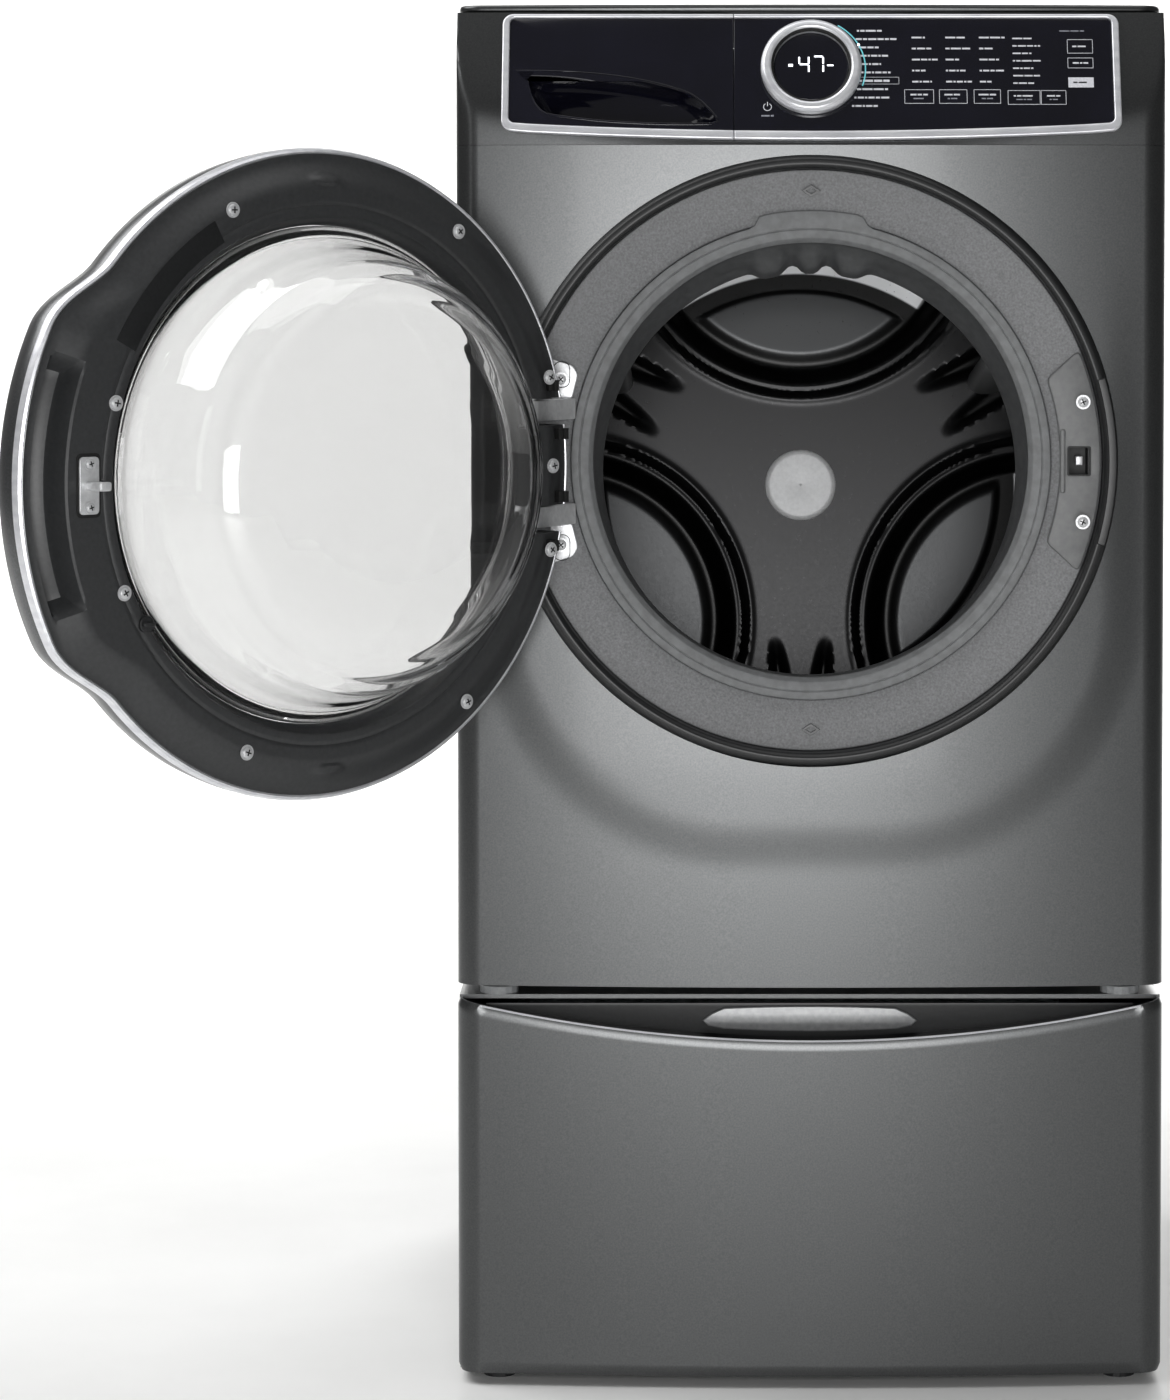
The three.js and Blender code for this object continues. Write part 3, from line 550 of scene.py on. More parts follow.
def makeOpening():
    outer, inner = opening["recess"], opening["recess"] - opening["wall"]
    lip, mouth = opening["lip"], opening["mouth"]
    ring = rounded([(inner, -3), (inner + 4, -7), (outer - 4, -6), (outer, 0), (outer, 34), (inner, 34)], 2)
    verts, faces = sweep(lambda angle: ring, 240)
    addMesh("recessRing", verts, faces, openingAt, finish["satinBlackAbs"], "cabinet", ["recess_ring"])
    band = rounded([(inner - 0.3, 15), (inner - 0.3, 34), (lip + 0.3, 40), (lip + 0.3, 22)], 2)
    verts, faces = sweep(lambda angle: band, 240)
    surround = addMesh("openingSurround", verts, faces, openingAt, finish["grainedGreyPlastic"], "cabinet",
                       ["opening_surround"])
    cutter = plate("lockCutter", [roundedBox(26, 44, 2, lock["x"], 0)], -60, 0, 0.1, openingAt @ facingFront,
                   None, "cabinet", steps=0)
    cutWith(surround, cutter)

    # The lip of the bellows stands proud of the ring, with a tab at the top
    def lipSection(angle):
        fromTop = math.atan2(math.sin(angle - math.pi / 2), math.cos(angle - math.pi / 2))
        tab = 1 - smooth(0.20, 0.25, abs(fromTop))
        edge = lip + 10 * tab
        return rounded([(edge, 24 - 4 * tab), (edge, 16.5), (lip - 7, 16), (lip - 8, 17.6), (lip - 9, 16.4),
                        (mouth + 4, 18), (mouth, 25), (mouth, 32), (lip - 2, 40)], 1.2)

    verts, faces = sweep(lipSection, 240)
    addMesh("bellowsLip", verts, faces, openingAt, finish["greyEpdm"], "cabinet", ["door_bellows"])

    # Behind the lip the fold runs back to the tub, painted dark as shade, with three spray nozzles moulded in at the
    # top
    def foldSection(angle):
        fromTop = math.atan2(math.sin(angle - math.pi / 2), math.cos(angle - math.pi / 2))
        swell = min(1, sum(math.exp(-((fromTop - at) / wide) ** 4)
                           for at, wide in ((-0.21, 0.085), (0, 0.06), (0.21, 0.085))))
        sag = 9 + 13 * math.sin(angle)
        return rounded([(mouth + 0.4, 30), (mouth + 1, 44), (mouth - 1 - 0.2 * sag - 4 * swell, 54),
                        (mouth - 1 - 0.55 * sag - 13 * swell, 66), (mouth - sag - 10 * swell, 78),
                        (mouth - sag - 2 * swell, 84), (mouth + 22, 86), (mouth + 22, 54),
                        (mouth + 16, 41)], 4, 4)

    verts, faces = sweep(foldSection, 288)
    addMesh("bellowsFold", verts, faces, openingAt, finish["shadedFoldEpdm"], "cabinet")
    for angle, name in ((math.pi / 2, "topMark"), (-math.pi / 2, "bottomMark")):
        at = openingAt @ Matrix.Translation((0, 14.4 * mm, math.sin(angle) * 262 * mm)) @ facingFront
        plate(name, [[(-9, 0), (0, 6), (9, 0), (0, -6)], [(-5, 0), (0, -3), (5, 0), (0, 3)]], -4, 0.6, 0.4, at,
              finish["smoothGreyPlastic"], "cabinet")


lock = {"x": 260, "half": 108}


def lockOutline(inset):
    outer = opening["recess"] - opening["wall"] - 2 - inset
    inner = opening["lip"] + 9 + inset
    sweepAngle = math.asin((lock["half"] - inset) / outer)
    return rounded(arc(0, 0, outer, -sweepAngle, sweepAngle, 14) + arc(0, 0, inner, sweepAngle - 0.06,
                                                                       0.06 - sweepAngle, 14), 7, 3)


def makeLock():
    at = openingAt @ facingFront
    mouth = roundedBox(20, 26, 1.5, lock["x"], 0)
    plate("lockCover", [lockOutline(0), mouth], -18, -9, 1.6, at, finish["smoothGreyPlastic"], "cabinet",
          ["lock_cover"])
    # A rib beside the mouth and a rim round it
    plate("lockRib", [roundedBox(5, 62, 2, lock["x"] - 16, 0)], -10, -6.4, 1.4, at, finish["smoothGreyPlastic"],
          "cabinet")
    plate("lockBezel", [roundedBox(23, 29, 2, lock["x"], 0), mouth], -9.4, -8.2, 0.4, at,
          finish["blackMoulding"], "cabinet")
    plate("lockHook", [roundedBox(7, 9, 1, lock["x"] + 1, 0)], -34, -20, 1, at, finish["platedSteel"],
          "cabinet")
    outer = opening["recess"] - 2
    grip = arc(0, 0, outer, -0.28, 0.28, 16) + arc(0, 0, outer - 8, 0.28, -0.28, 16)
    plate("recessPlate", [grip], 4, 8.6, 1, at, finish["satinBlackAbs"], "cabinet")


makeFrontPanel()
makeSurround()
makeTopPanel()
makeConsole()
makeOpening()
makeLock()
print("cabinet and console made")


# Door, built shut about its hinge; the inside faces +y

door = {"middle": opening["recess"] - 29, "radius": 296, "grip": 25, "front": -28, "rimBack": 20, "face": 36,
        "window": 256, "glass": 226, "deep": 140, "arm": 51, "armTall": 26}


def gripAt(angle):
    away = abs(math.atan2(math.sin(angle), math.cos(angle)))
    return 1 - smooth(0.45, 0.72, away)


def pocketAt(r, angle, grow=0.0):
    away = abs(math.atan2(math.sin(angle), math.cos(angle)))
    near, far = door["radius"] - 14 - grow, door["radius"] + door["grip"] - 11 + grow
    across = smooth(near, near + 6, r) * (1 - smooth(far - 5, far, r))
    return across * (1 - smooth(0.34 + grow / 300, 0.39 + grow / 300, away))


def rimSection(angle):
    r = door["radius"] + door["grip"] * gripAt(angle)
    back = door["rimBack"]
    stations = [r - 6 - (r - 6 - 262) * i / 14 for i in range(15)]
    face = [(s, back - 33 * pocketAt(s, angle, 3)) for s in stations]
    front = [(256, 14), (256, -21), (260, -25), (268, -27.4), (r - 26, -28), (r - 10, -24), (r - 2, -13),
             (r, 0), (r - 0.6, 12), (r - 3, 18)]
    return front + face


def linerSection(angle):
    r = door["radius"] - 5 + door["grip"] * gripAt(angle)
    inner = door["glass"] + 0.6
    stations = [r - (r - inner) * i / 46 for i in range(47)]
    top = []
    for s in stations:
        w = door["face"] - 15 * smooth(r - 34, r, s)
        w -= 14 * (1 - smooth(inner, inner + 9, s))
        w -= 1.3 * math.exp(-((s - inner - 18) / 1.6) ** 2)
        w -= 25 * pocketAt(s, angle)
        upDown = abs(abs(math.atan2(math.sin(angle), math.cos(angle))) - math.pi / 2)
        w += 2.6 * (1 - smooth(0.5, 1.0, math.hypot(upDown * 272 / 20, (s - 268) / 7)))
        top.append((s, w))
    return top + [(inner, 8), (inner + 4, 6), (r - 40, 6 - 20 * gripAt(angle)), (r - 3, 6 - 20 * gripAt(angle))]


def cutNotches(piece):
    for side in (1, -1):
        z = side * door["arm"]
        at = doorAt @ Matrix.Translation((0, 0, z * mm)) @ facingFront
        outline = [(-60, -door["armTall"] / 2), (36, -door["armTall"] / 2), (36, door["armTall"] / 2),
                   (-60, door["armTall"] / 2)]
        cutter = plate("notchCutter", [outline], -80, -door["front"] - 8, 0.1, at, None, "door", steps=0)
        cutWith(piece, cutter)


def makeDoor():
    middle = (door["middle"], 0, 0)
    verts, faces = sweep(rimSection, 320, middle)
    cutNotches(addMesh("doorRim", verts, faces, doorAt, finish["rimEnamel"], "door", ["door_rim"], sharp=45))
    verts, faces = sweep(linerSection, 420, middle)
    liner = addMesh("doorLiner", verts, faces, doorAt, finish["charcoalAbs"], "door", ["door_liner"], sharp=45)
    cutNotches(liner)

    # A bright edge round the rim
    def edgeSection(angle):
        r = door["radius"] + door["grip"] * gripAt(angle)
        return [(r - 3, 12), (r + 0.5, 11), (r + 0.8, 14), (r - 0.8, 18.8), (r - 3, 20.2), (r - 4.6, 19)]

    verts, faces = sweep(edgeSection, 320, middle)
    cutNotches(addMesh("doorEdge", verts, faces, doorAt, finish["satinChrome"], "door"))
    at = doorAt @ Matrix.Translation((door["middle"] * mm, 0, 0)) @ facingFront
    plate("doorWindow", [circle(door["window"] - 0.5, 160)], 19, 24, 1.2, at, finish["windowGlass"], "door",
          ["door_window"])
    makeBowl(middle)
    back = doorAt @ Matrix.Translation(((door["middle"] + lock["x"]) * mm, 0, 0)) @ facingInside
    face = door["face"]
    plate("strikePlate", [roundedBox(20, 50, 4)], face, face + 2.4, 0.8, back, finish["platedSteel"], "door",
          ["door_strike"])
    plate("strikeSeat", [roundedBox(25, 56, 5), roundedBox(20.4, 50.4, 4)], face - 2, face + 0.7, 0.3, back,
          finish["slotShade"], "door")
    steel = finish["platedSteel"]
    plate("strikeStem", [roundedBox(8, 8, 2)], face + 1, face + 24, 1, back, steel, "door")
    plate("strikeHook", [roundedBox(11, 8, 2, -2.5)], face + 19, face + 24.6, 1.2, back, steel, "door")
    plug = doorAt @ Matrix.Translation((door["middle"] * mm, 0, 0)) @ facingInside
    x, y = 236 * math.cos(0.55), 236 * math.sin(0.55)
    black = finish["blackMoulding"]
    plate("stopPlug", [roundedBox(15, 15, 7, x, y)], face - 2, face + 3, 1, plug, black, "door")
    plate("stopPlugFin", [roundedBox(12, 4, 1.5, x, y)], face + 2, face + 7, 1, plug, black, "door")
    label = arc(0, 0, 262, -0.5, -1.07, 20) + arc(0, 0, 240, -1.07, -0.5, 20)
    plate("blankLabel", [label], face + 0.1, face + 0.5, 0.1, plug, finish["satinBlackAbs"], "door")


# The bowl is deep and thick walled, with a tight shoulder round its floor
def makeBowl(middle):
    g, wall, deep = door["glass"], 5, door["deep"]
    outer = [(g, 15), (g, 24), (g - 8, 34), (g - 15, 48), (g - 21, 66), (g - 26, deep - 60),
             (g - 32, deep - 38), (g - 45, deep - 19), (g - 62, deep - 8), (g - 88, deep - 3.4),
             (100, deep - 1.6), (50, deep - 0.4)]
    inner = [(50, deep - wall - 0.4), (100, deep - wall - 1.6), (g - 90, deep - 8.6), (g - 66, deep - 13.4),
             (g - 51, deep - 22), (g - 37, deep - 42), (g - 31, deep - 62), (g - 26, 65), (g - 20, 46),
             (g - 13, 32), (g - 8, 15)]
    profile = [(0, deep - wall)] + rounded(inner, 5, 3)[2:] + rounded(outer, 6, 3)[:-2] + [(0, deep)]
    verts, faces = sweep(lambda angle: profile, 200, middle, False)
    addMesh("doorBowl", verts, faces, doorAt, finish["bowlGlass"], "door", ["door_glass"], sharp=50)


makeDoor()
print("door made")


# Drum: stainless shell, pressed back with three arms, three lifters

drum = {"radius": 266, "start": 66, "mouth": 238, "lifterHigh": 54}
drum["end"] = 410


def makeDrum():
    r, start, end, mouth = drum["radius"], drum["start"], drum["end"], drum["mouth"]
    profile = rounded([(r - 2, end), (r - 2, start + 10), (r - 8, start + 3), (mouth + 1, start + 2),
                       (mouth, start), (r - 4, start), (r, start + 6), (r, end + 3), (120, end + 3), (120, end + 1.2),
                       (r - 3, end + 1.2)], 1.6)
    verts, faces = sweep(lambda angle: profile, 240)
    addMesh("drumShell", verts, faces, washAt, finish["stainlessDrum"], "drum", ["drum_shell"])
    hub = rounded([(0.02, end - 34), (34, end - 34), (38, end - 31), (38, end - 8), (0.02, end - 8)], 2)
    verts, faces = sweep(lambda angle: hub, 96)
    addMesh("drumHub", verts, faces, washAt, finish["hubSteel"], "drum")
    makeDrumBack()
    for i in range(3):
        makeLifter(i, math.radians(-90 + 120 * i))


# Height of the pressed back at a point, and its tone of painted shade and highlight: arm, shelf, dark bank, dish,
# bright edge
def backAt(x, z):
    r = math.hypot(x, z)
    reach = max(196 - math.hypot(x - 292 * math.cos(a), z - 292 * math.sin(a))
                for a in (math.radians(90 + 120 * i) for i in range(3)))
    height = 30 - 12 * smooth(-3, 7, reach) - 18 * smooth(12, 34, reach)
    height += 1.3 * math.exp(-((reach + 4) / 3.6) ** 2) + 0.9 * math.exp(-((reach - 11) / 3.4) ** 2)
    dish = smooth(36, 50, reach) * (1 - smooth(208, 216, r))
    height += 4 * dish
    edge = smooth(30, 36, reach) * smooth(229, 233, r)
    shadeAndHighlight = 0.25 * smooth(-3, 3, reach) + 0.25 * smooth(12, 20, reach) + 0.25 * dish + 0.5 * edge
    for i in range(3):
        angle = math.radians(-90 + 120 * i)
        along = x * math.cos(angle) + z * math.sin(angle)
        across = abs(-x * math.sin(angle) + z * math.cos(angle))
        if along > 150 and across < 34:
            half = 24 - 0.2 * (along - 160)
            pocket = smooth(half - 5, half + 7, across) * (1 - smooth(25, 36, across)) * smooth(158, 196, along)
            height -= 8 * pocket
            # the pockets beside the lifters take a darker tone: painted shade
            shadeAndHighlight += 0.45 * pocket
    return height, shadeAndHighlight


def makeDrumBack():
    end, outer = drum["end"], drum["radius"] - 2.4
    rings, count = 168, 500
    verts, shadeAndHighlights = [], []
    for i in range(count):
        angle = 2 * math.pi * i / count
        for k in range(rings + 1):
            r = 4 + (outer - 4) * k / rings
            x, z = r * math.cos(angle), r * math.sin(angle)
            height, shadeAndHighlight = backAt(x, z)
            verts.append((x, end - height, z))
            shadeAndHighlights.append(shadeAndHighlight)
    faces = gridFaces(count, rings + 1, True)
    base = count * (rings + 1)
    for i in range(count):
        angle = 2 * math.pi * i / count
        verts.append((4 * math.cos(angle), end + 1, 4 * math.sin(angle)))
        verts.append((outer * math.cos(angle), end + 1, outer * math.sin(angle)))
        shadeAndHighlights += [0, 0]
        j = (i + 1) % count
        a, b = base + 2 * i, base + 2 * j
        faces += [(a, a + 1, b + 1, b), (i * (rings + 1), a, b, j * (rings + 1)),
                  (i * (rings + 1) + rings, j * (rings + 1) + rings, b + 1, a + 1)]
    piece = addMesh("drumBack", verts, faces, washAt, finish["pressedBack"], "drum", weld=False)
    work = bmesh.new()
    work.from_mesh(piece.data)
    bmesh.ops.recalc_face_normals(work, faces=work.faces)
    work.to_mesh(piece.data)
    work.free()
    layer = piece.data.attributes.new("shadeAndHighlight", "FLOAT", "POINT")
    layer.data.foreach_set("value", shadeAndHighlights)


def makeLifter(index, angle):
    r, start, end = drum["radius"] - 2.3, drum["start"] + 32, drum["end"] - 2
    rows = 26
    verts = []
    outward = Vector((math.cos(angle), 0, math.sin(angle)))
    across = Vector((-math.sin(angle), 0, math.cos(angle)))
    for i in range(rows + 1):
        t = i / rows
        y = start + (end - start) * t
        tall = drum["lifterHigh"] * (0.35 + 0.65 * smooth(0, 0.25, t))
        half = 27 * (0.8 + 0.2 * smooth(0, 0.2, t))
        section = [(half, 0)]
        for k in range(13):
            s = -1 + 2 * k / 12
            section.append((-half * 0.92 * s * (1 if abs(s) > 0.5 else 1), tall * (1 - abs(s) ** 2.4) ** 0.8))
        section.append((-half, 0))
        for s, h in section:
            sag = r - math.sqrt(r * r - s * s)
            place = outward * (r - sag - h) + across * s
            verts.append((place.x, y, place.z))
    columns = 15
    faces = gridFaces(rows + 1, columns, False, True)
    faces.append(tuple(range(columns)))
    faces.append(tuple(range(rows * columns, (rows + 1) * columns))[::-1])
    addMesh("lifter" + str(index + 1), verts, faces, washAt, finish["smoothGreyPlastic"], "drum",
            ["drum_lifter_" + str(index + 1)])


makeDrum()
print("drum made")


# Pedestal drawer front with its dipped top edge and scooped pull

pedestal = {"dip": 37}


def drawerTop(x):
    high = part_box("pedestal_drawer_front")[1].z / mm
    return high - pedestal["dip"] * (1 - (x / (halfWidth + 1)) ** 2)


def makePedestalFront():
    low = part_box("pedestal_drawer_front")[0].z / mm
    path = planPath(0, 41)
    rows = 60
    verts = []
    for i in range(rows + 1):
        t = i / rows
        for x, y in path:
            top = drawerTop(x)
            z = low + (top - low) * t
            # the top edge rolls back over the last few millimetres, the foot a little less
            roll = 2.4 * max(0, 1 - (top - z) / 4) ** 2 + 2.4 * max(0, 1 - (z - low) / 5) ** 2
            nx = x / halfWidth if abs(x) > halfWidth - 22 else 0
            verts.append((x - nx * roll, y + (roll if nx == 0 else 0), z))
    faces = gridFaces(rows + 1, len(path))
    piece = addMesh("pedestalFront", verts, faces, machineAt, finish["titaniumEnamel"], "pedestal_drawer",
                    ["pedestal_drawer_front"])
    settle(piece, "SOLIDIFY", thickness=2.4 * mm, offset=0)
    makeScoop()


# Behind the edge lie a dark capping strip, a dark back to the pull and a lens-shaped scoop in its middle, coloured
# pale as a painted reflection
def makeScoop():
    rows, columns = 12, 100
    verts = []
    for i in range(rows + 1):
        v = i / rows
        for j in range(columns + 1):
            x = -(halfWidth - 10) + 2 * (halfWidth - 10) * j / columns
            y = bowAt(x) + 4 + (40 - bowAt(x) - 4) * v
            scoop = max(0, 1 - (x / 108) ** 2) ** 0.6 * math.sin(math.pi * min(1, v * 0.9 + 0.1)) ** 0.8
            verts.append((x, y, drawerTop(x) - 3.4 - 16 * scoop))
    faces = gridFaces(rows + 1, columns + 1)
    piece = addMesh("pedestalScoop", verts, faces, machineAt, finish["satinBlackAbs"], "pedestal_drawer")
    settle(piece, "SOLIDIFY", thickness=1.6 * mm, offset=0)
    front = machineAt @ facingFront
    across = [-(halfWidth - 26) + 2 * (halfWidth - 26) * i / 40 for i in range(41)]
    back = [(x, 372) for x in across] + [(x, drawerTop(x) - 5) for x in reversed(across) if drawerTop(x) < 374]
    plate("pullBack", [back], -42, -39.6, 0.6, front, finish["satinBlackAbs"], "pedestal_drawer")
    # the lens's pale grey is a painted reflection
    lens = [(x, 366.5 + 3 * (1 - (x / 106) ** 2)) for x in range(-84, 85, 8)]
    lens += [(97, 362), (106, 355), (100, 349.5), (84, 346.4)]
    lens += [(x, 344 + 2.6 * (x / 84) ** 2) for x in range(76, -77, -8)]
    lens += [(-84, 346.4), (-100, 349.5), (-106, 355), (-97, 362)]
    plate("pullScoop", [lens], -39.8, -36, 1.8, front, finish["scoopReflectionGrey"], "pedestal_drawer", steps=5)
    # a thin bright edge along the front's top, a painted highlight where the rolled edge catches the light
    count, line = 120, []
    for i in range(count + 1):
        x = -(halfWidth - 20) + 2 * (halfWidth - 20) * i / count
        y, z = bowAt(x), drawerTop(x)
        line += [(x, y - 0.6, z - 1.4), (x, y + 2.2, z - 1.4), (x, y + 2.2, z + 0.2), (x, y + 0.6, z + 0.2)]
    faces = gridFaces(count + 1, 4, False, True) + [(0, 1, 2, 3), tuple(range(4 * count, 4 * count + 4))]
    addMesh("pedestalEdgeHighlight", line, faces, machineAt, finish["satinChrome"], "pedestal_drawer")


makePedestalFront()
print("pedestal made")


# Geometry Nodes: small parts that repeat

def beginTree(name, inputs):
    tree = bpy.data.node_groups.new(name, "GeometryNodeTree")
    tree.interface.new_socket("Geometry", in_out="INPUT", socket_type="NodeSocketGeometry")
    for label, kind in inputs:
        tree.interface.new_socket(label, in_out="INPUT", socket_type="NodeSocket" + kind)
    tree.interface.new_socket("Geometry", in_out="OUTPUT", socket_type="NodeSocketGeometry")
    return tree, addNode(tree, "NodeGroupInput").outputs


# Copies of a small body on every point, sized and turned by the point's own attributes
def endTree(tree, given, body, material=None):
    size = addNode(tree, "GeometryNodeInputNamedAttribute", {"data_type": "FLOAT_VECTOR"}, Name="size")
    turn = addNode(tree, "GeometryNodeInputNamedAttribute", {"data_type": "FLOAT_VECTOR"}, Name="turn")
    euler = addNode(tree, "FunctionNodeEulerToRotation", Euler=turn.outputs["Attribute"])
    copies = addNode(tree, "GeometryNodeInstanceOnPoints", Points=given["Geometry"], Instance=body,
                     Rotation=euler.outputs["Rotation"], Scale=size.outputs["Attribute"])
    real = addNode(tree, "GeometryNodeRealizeInstances", Geometry=copies.outputs["Instances"])
    real = real.outputs["Geometry"]
    if material:
        real = addNode(tree, "GeometryNodeSetMaterial", Geometry=real, Material=material).outputs["Geometry"]
    addNode(tree, "NodeGroupOutput", Geometry=real)
    return tree


def moved(tree, body, translation=None, **fixed):
    made = addNode(tree, "GeometryNodeTransform", Geometry=body, **fixed)
    if translation is not None:
        tree.links.new(translation, made.inputs["Translation"])
    return made.outputs["Geometry"]


# A pan head on a thin washer, with a thin dark cross laid on it as painted shade for the cross cut
def screwTree():
    sizes = [("Head Radius", "Float"), ("Head Height", "Float"), ("Slot Width", "Float")]
    tree, given = beginTree("screws", sizes + [("Head Material", "Material"), ("Slot Material", "Material")])
    radius, height = given["Head Radius"], given["Head Height"]
    low = addNode(tree, "ShaderNodeMath", {"operation": "MULTIPLY"}, i0=radius, i1=1.35)
    washer = addNode(tree, "GeometryNodeMeshCylinder", Vertices=32, Radius=low.outputs[0], Depth=0.0008)
    head = addNode(tree, "GeometryNodeMeshCylinder", Vertices=32, Radius=radius, Depth=height)
    dome = addNode(tree, "GeometryNodeMeshUVSphere", Segments=32, Rings=16, Radius=radius)
    half = addNode(tree, "ShaderNodeMath", {"operation": "MULTIPLY"}, i0=height, i1=0.5)
    up = addNode(tree, "ShaderNodeCombineXYZ", Z=half.outputs[0])
    cap = moved(tree, dome.outputs["Mesh"], up.outputs[0], Scale=(0.99, 0.99, 0.32))
    steel = addNode(tree, "GeometryNodeJoinGeometry")
    for part in (cap, head.outputs["Mesh"], washer.outputs["Mesh"]):
        tree.links.new(part, steel.inputs["Geometry"])
    steel = addNode(tree, "GeometryNodeSetMaterial", Geometry=steel.outputs["Geometry"],
                    Material=given["Head Material"])
    length = addNode(tree, "ShaderNodeMath", {"operation": "MULTIPLY"}, i0=radius, i1=1.15)
    top = addNode(tree, "ShaderNodeMath", {"operation": "MULTIPLY_ADD"}, i0=radius, i1=0.31, i2=half.outputs[0])
    cross = addNode(tree, "GeometryNodeJoinGeometry")
    for first, second in ((length.outputs[0], given["Slot Width"]), (given["Slot Width"], length.outputs[0])):
        size = addNode(tree, "ShaderNodeCombineXYZ", X=first, Y=second, Z=0.0004)
        bar = addNode(tree, "GeometryNodeMeshCube", Size=size.outputs[0])
        tree.links.new(bar.outputs["Mesh"], cross.inputs["Geometry"])
    lift = addNode(tree, "ShaderNodeCombineXYZ", Z=top.outputs[0])
    cross = moved(tree, cross.outputs["Geometry"], lift.outputs[0])
    cross = addNode(tree, "GeometryNodeSetMaterial", Geometry=cross, Material=given["Slot Material"])
    whole = addNode(tree, "GeometryNodeJoinGeometry")
    tree.links.new(cross.outputs["Geometry"], whole.inputs["Geometry"])
    tree.links.new(steel.outputs["Geometry"], whole.inputs["Geometry"])
    return endTree(tree, given, whole.outputs["Geometry"])


def markTree():
    tree, given = beginTree("marks", [("Ink Height", "Float"), ("Ink", "Material")])
    size = addNode(tree, "ShaderNodeCombineXYZ", X=0.001, Y=0.001, Z=given["Ink Height"])
    bar = addNode(tree, "GeometryNodeMeshCube", Size=size.outputs[0])
    return endTree(tree, given, bar.outputs["Mesh"], given["Ink"])


def holeTree():
    tree, given = beginTree("holes", [("Hole Radius", "Float"), ("Rim Height", "Float"), ("Shade", "Material")])
    disc = addNode(tree, "GeometryNodeMeshCylinder", Vertices=14, Radius=given["Hole Radius"],
                   Depth=given["Rim Height"])
    return endTree(tree, given, disc.outputs["Mesh"], given["Shade"])


trees = {"screws": screwTree(), "marks": markTree(), "holes": holeTree()}


# points: a list of (position in mm, size, turn) in the frame called at
def spread(name, kind, points, at, body, values):
    mesh = bpy.data.meshes.new(name + "Points")
    mesh.from_pydata([(Vector(p[0]) * mm)[:] for p in points], [], [])
    for label, column in (("size", 1), ("turn", 2)):
        layer = mesh.attributes.new(label, "FLOAT_VECTOR", "POINT")
        layer.data.foreach_set("vector", [v for p in points for v in p[column]])
    holder = bpy.data.objects.new(name + "Points", mesh)
    bpy.context.scene.collection.objects.link(holder)
    modifier = holder.modifiers.new("Spread", "NODES")
    modifier.node_group = trees[kind]
    for item in trees[kind].interface.items_tree:
        if item.in_out == "INPUT" and item.name in values:
            modifier[item.identifier] = values[item.name]
    graph = bpy.context.evaluated_depsgraph_get()
    made = bpy.data.meshes.new_from_object(holder.evaluated_get(graph))
    bpy.data.objects.remove(holder)
    made.transform(at)
    made.name = name
    return finishMesh(name, made, None, body, weld=False)


screwSizes = {"Head Radius": 5.2 * mm, "Head Height": 2.4 * mm, "Slot Width": 1.3 * mm,
              "Head Material": finish["platedSteel"], "Slot Material": finish["slotShade"]}
one = (1, 1, 1)


def addScrews():
    lockScrews = [((lock["x"] + 2, side * 58, -8.2), one, (0, 0, 0.4 * side)) for side in (1, -1)]
    spread("lockScrews", "screws", [((x, z, 9.4), size, turn) for (x, z, y), size, turn in lockScrews],
           openingAt @ facingFront, "cabinet", screwSizes)
    plateScrews = [((-242, side * 80, -10.4), one, (0, 0, 0.7)) for side in (1, -1)]
    spread("hingeScrews", "screws", [((x, z, -y), size, turn) for (x, z, y), size, turn in plateScrews],
           openingAt @ facingFront, "cabinet", screwSizes)
    # nine round the door's liner, and two on the strike
    ring = []
    for i, (turn, r) in enumerate(((66, 262), (124, 267), (17, 242), (-23, 243), (-69, 262), (-126, 268),
                                   (162, 272), (180, 263), (197, 272))):
        x, z = door["middle"] + r * math.cos(math.radians(turn)), r * math.sin(math.radians(turn))
        ring.append(((x, -z, door["face"] + 0.8), one, (0, 0, i * 0.7)))
    strike = [((door["middle"] + lock["x"], side * 19, door["face"] + 3.2), (0.8, 0.8, 0.8), (0, 0, 0.3))
              for side in (1, -1)]
    spread("linerScrews", "screws", ring + strike, doorAt @ facingInside, "door", screwSizes)


def addHoles():
    points = []
    r = drum["radius"] - 2.3
    rows, around = 26, 132
    for i in range(rows):
        for k in range(around):
            angle = 2 * math.pi * (k + 0.5 * (i % 2)) / around
            fromLifter = (math.degrees(angle) + 90) % 120
            fromLifter = min(fromLifter, 120 - fromLifter)
            if fromLifter < 8 or (k // 3) % 4 == 3:
                continue
            y = drum["start"] + 26 + (drum["end"] - drum["start"] - 50) * i / (rows - 1)
            points.append(((r * math.cos(angle), y, r * math.sin(angle)), one, (0, math.pi / 2 - angle, 0)))
    spread("drumHoles", "holes", points, washAt, "drum",
           {"Hole Radius": 2.1 * mm, "Rim Height": 0.5 * mm, "Shade": finish["slotShade"]})


# Printing on the fascia: plain bars stand for words, rings and frames for the keys

def frameBars(x, y, width, height, line=0.5):
    return [(x, y + height / 2, width, line), (x, y - height / 2, width, line),
            (x - width / 2, y, line, height), (x + width / 2, y, line, height)]


# Short dashes with gaps stand for the words of a label
def wordBars(x, y, width, height, seed, centred=False):
    out, at, limit = [], x - (width / 2 if centred else 0), x + (width / 2 if centred else width)
    while at < limit - 1:
        length = min(2.2 + 1.9 * ((seed * 7 + int(at * 3)) % 5), limit - at)
        out.append((at + length / 2, y, length, height))
        at += length + 1.1
        seed += 1
    return out


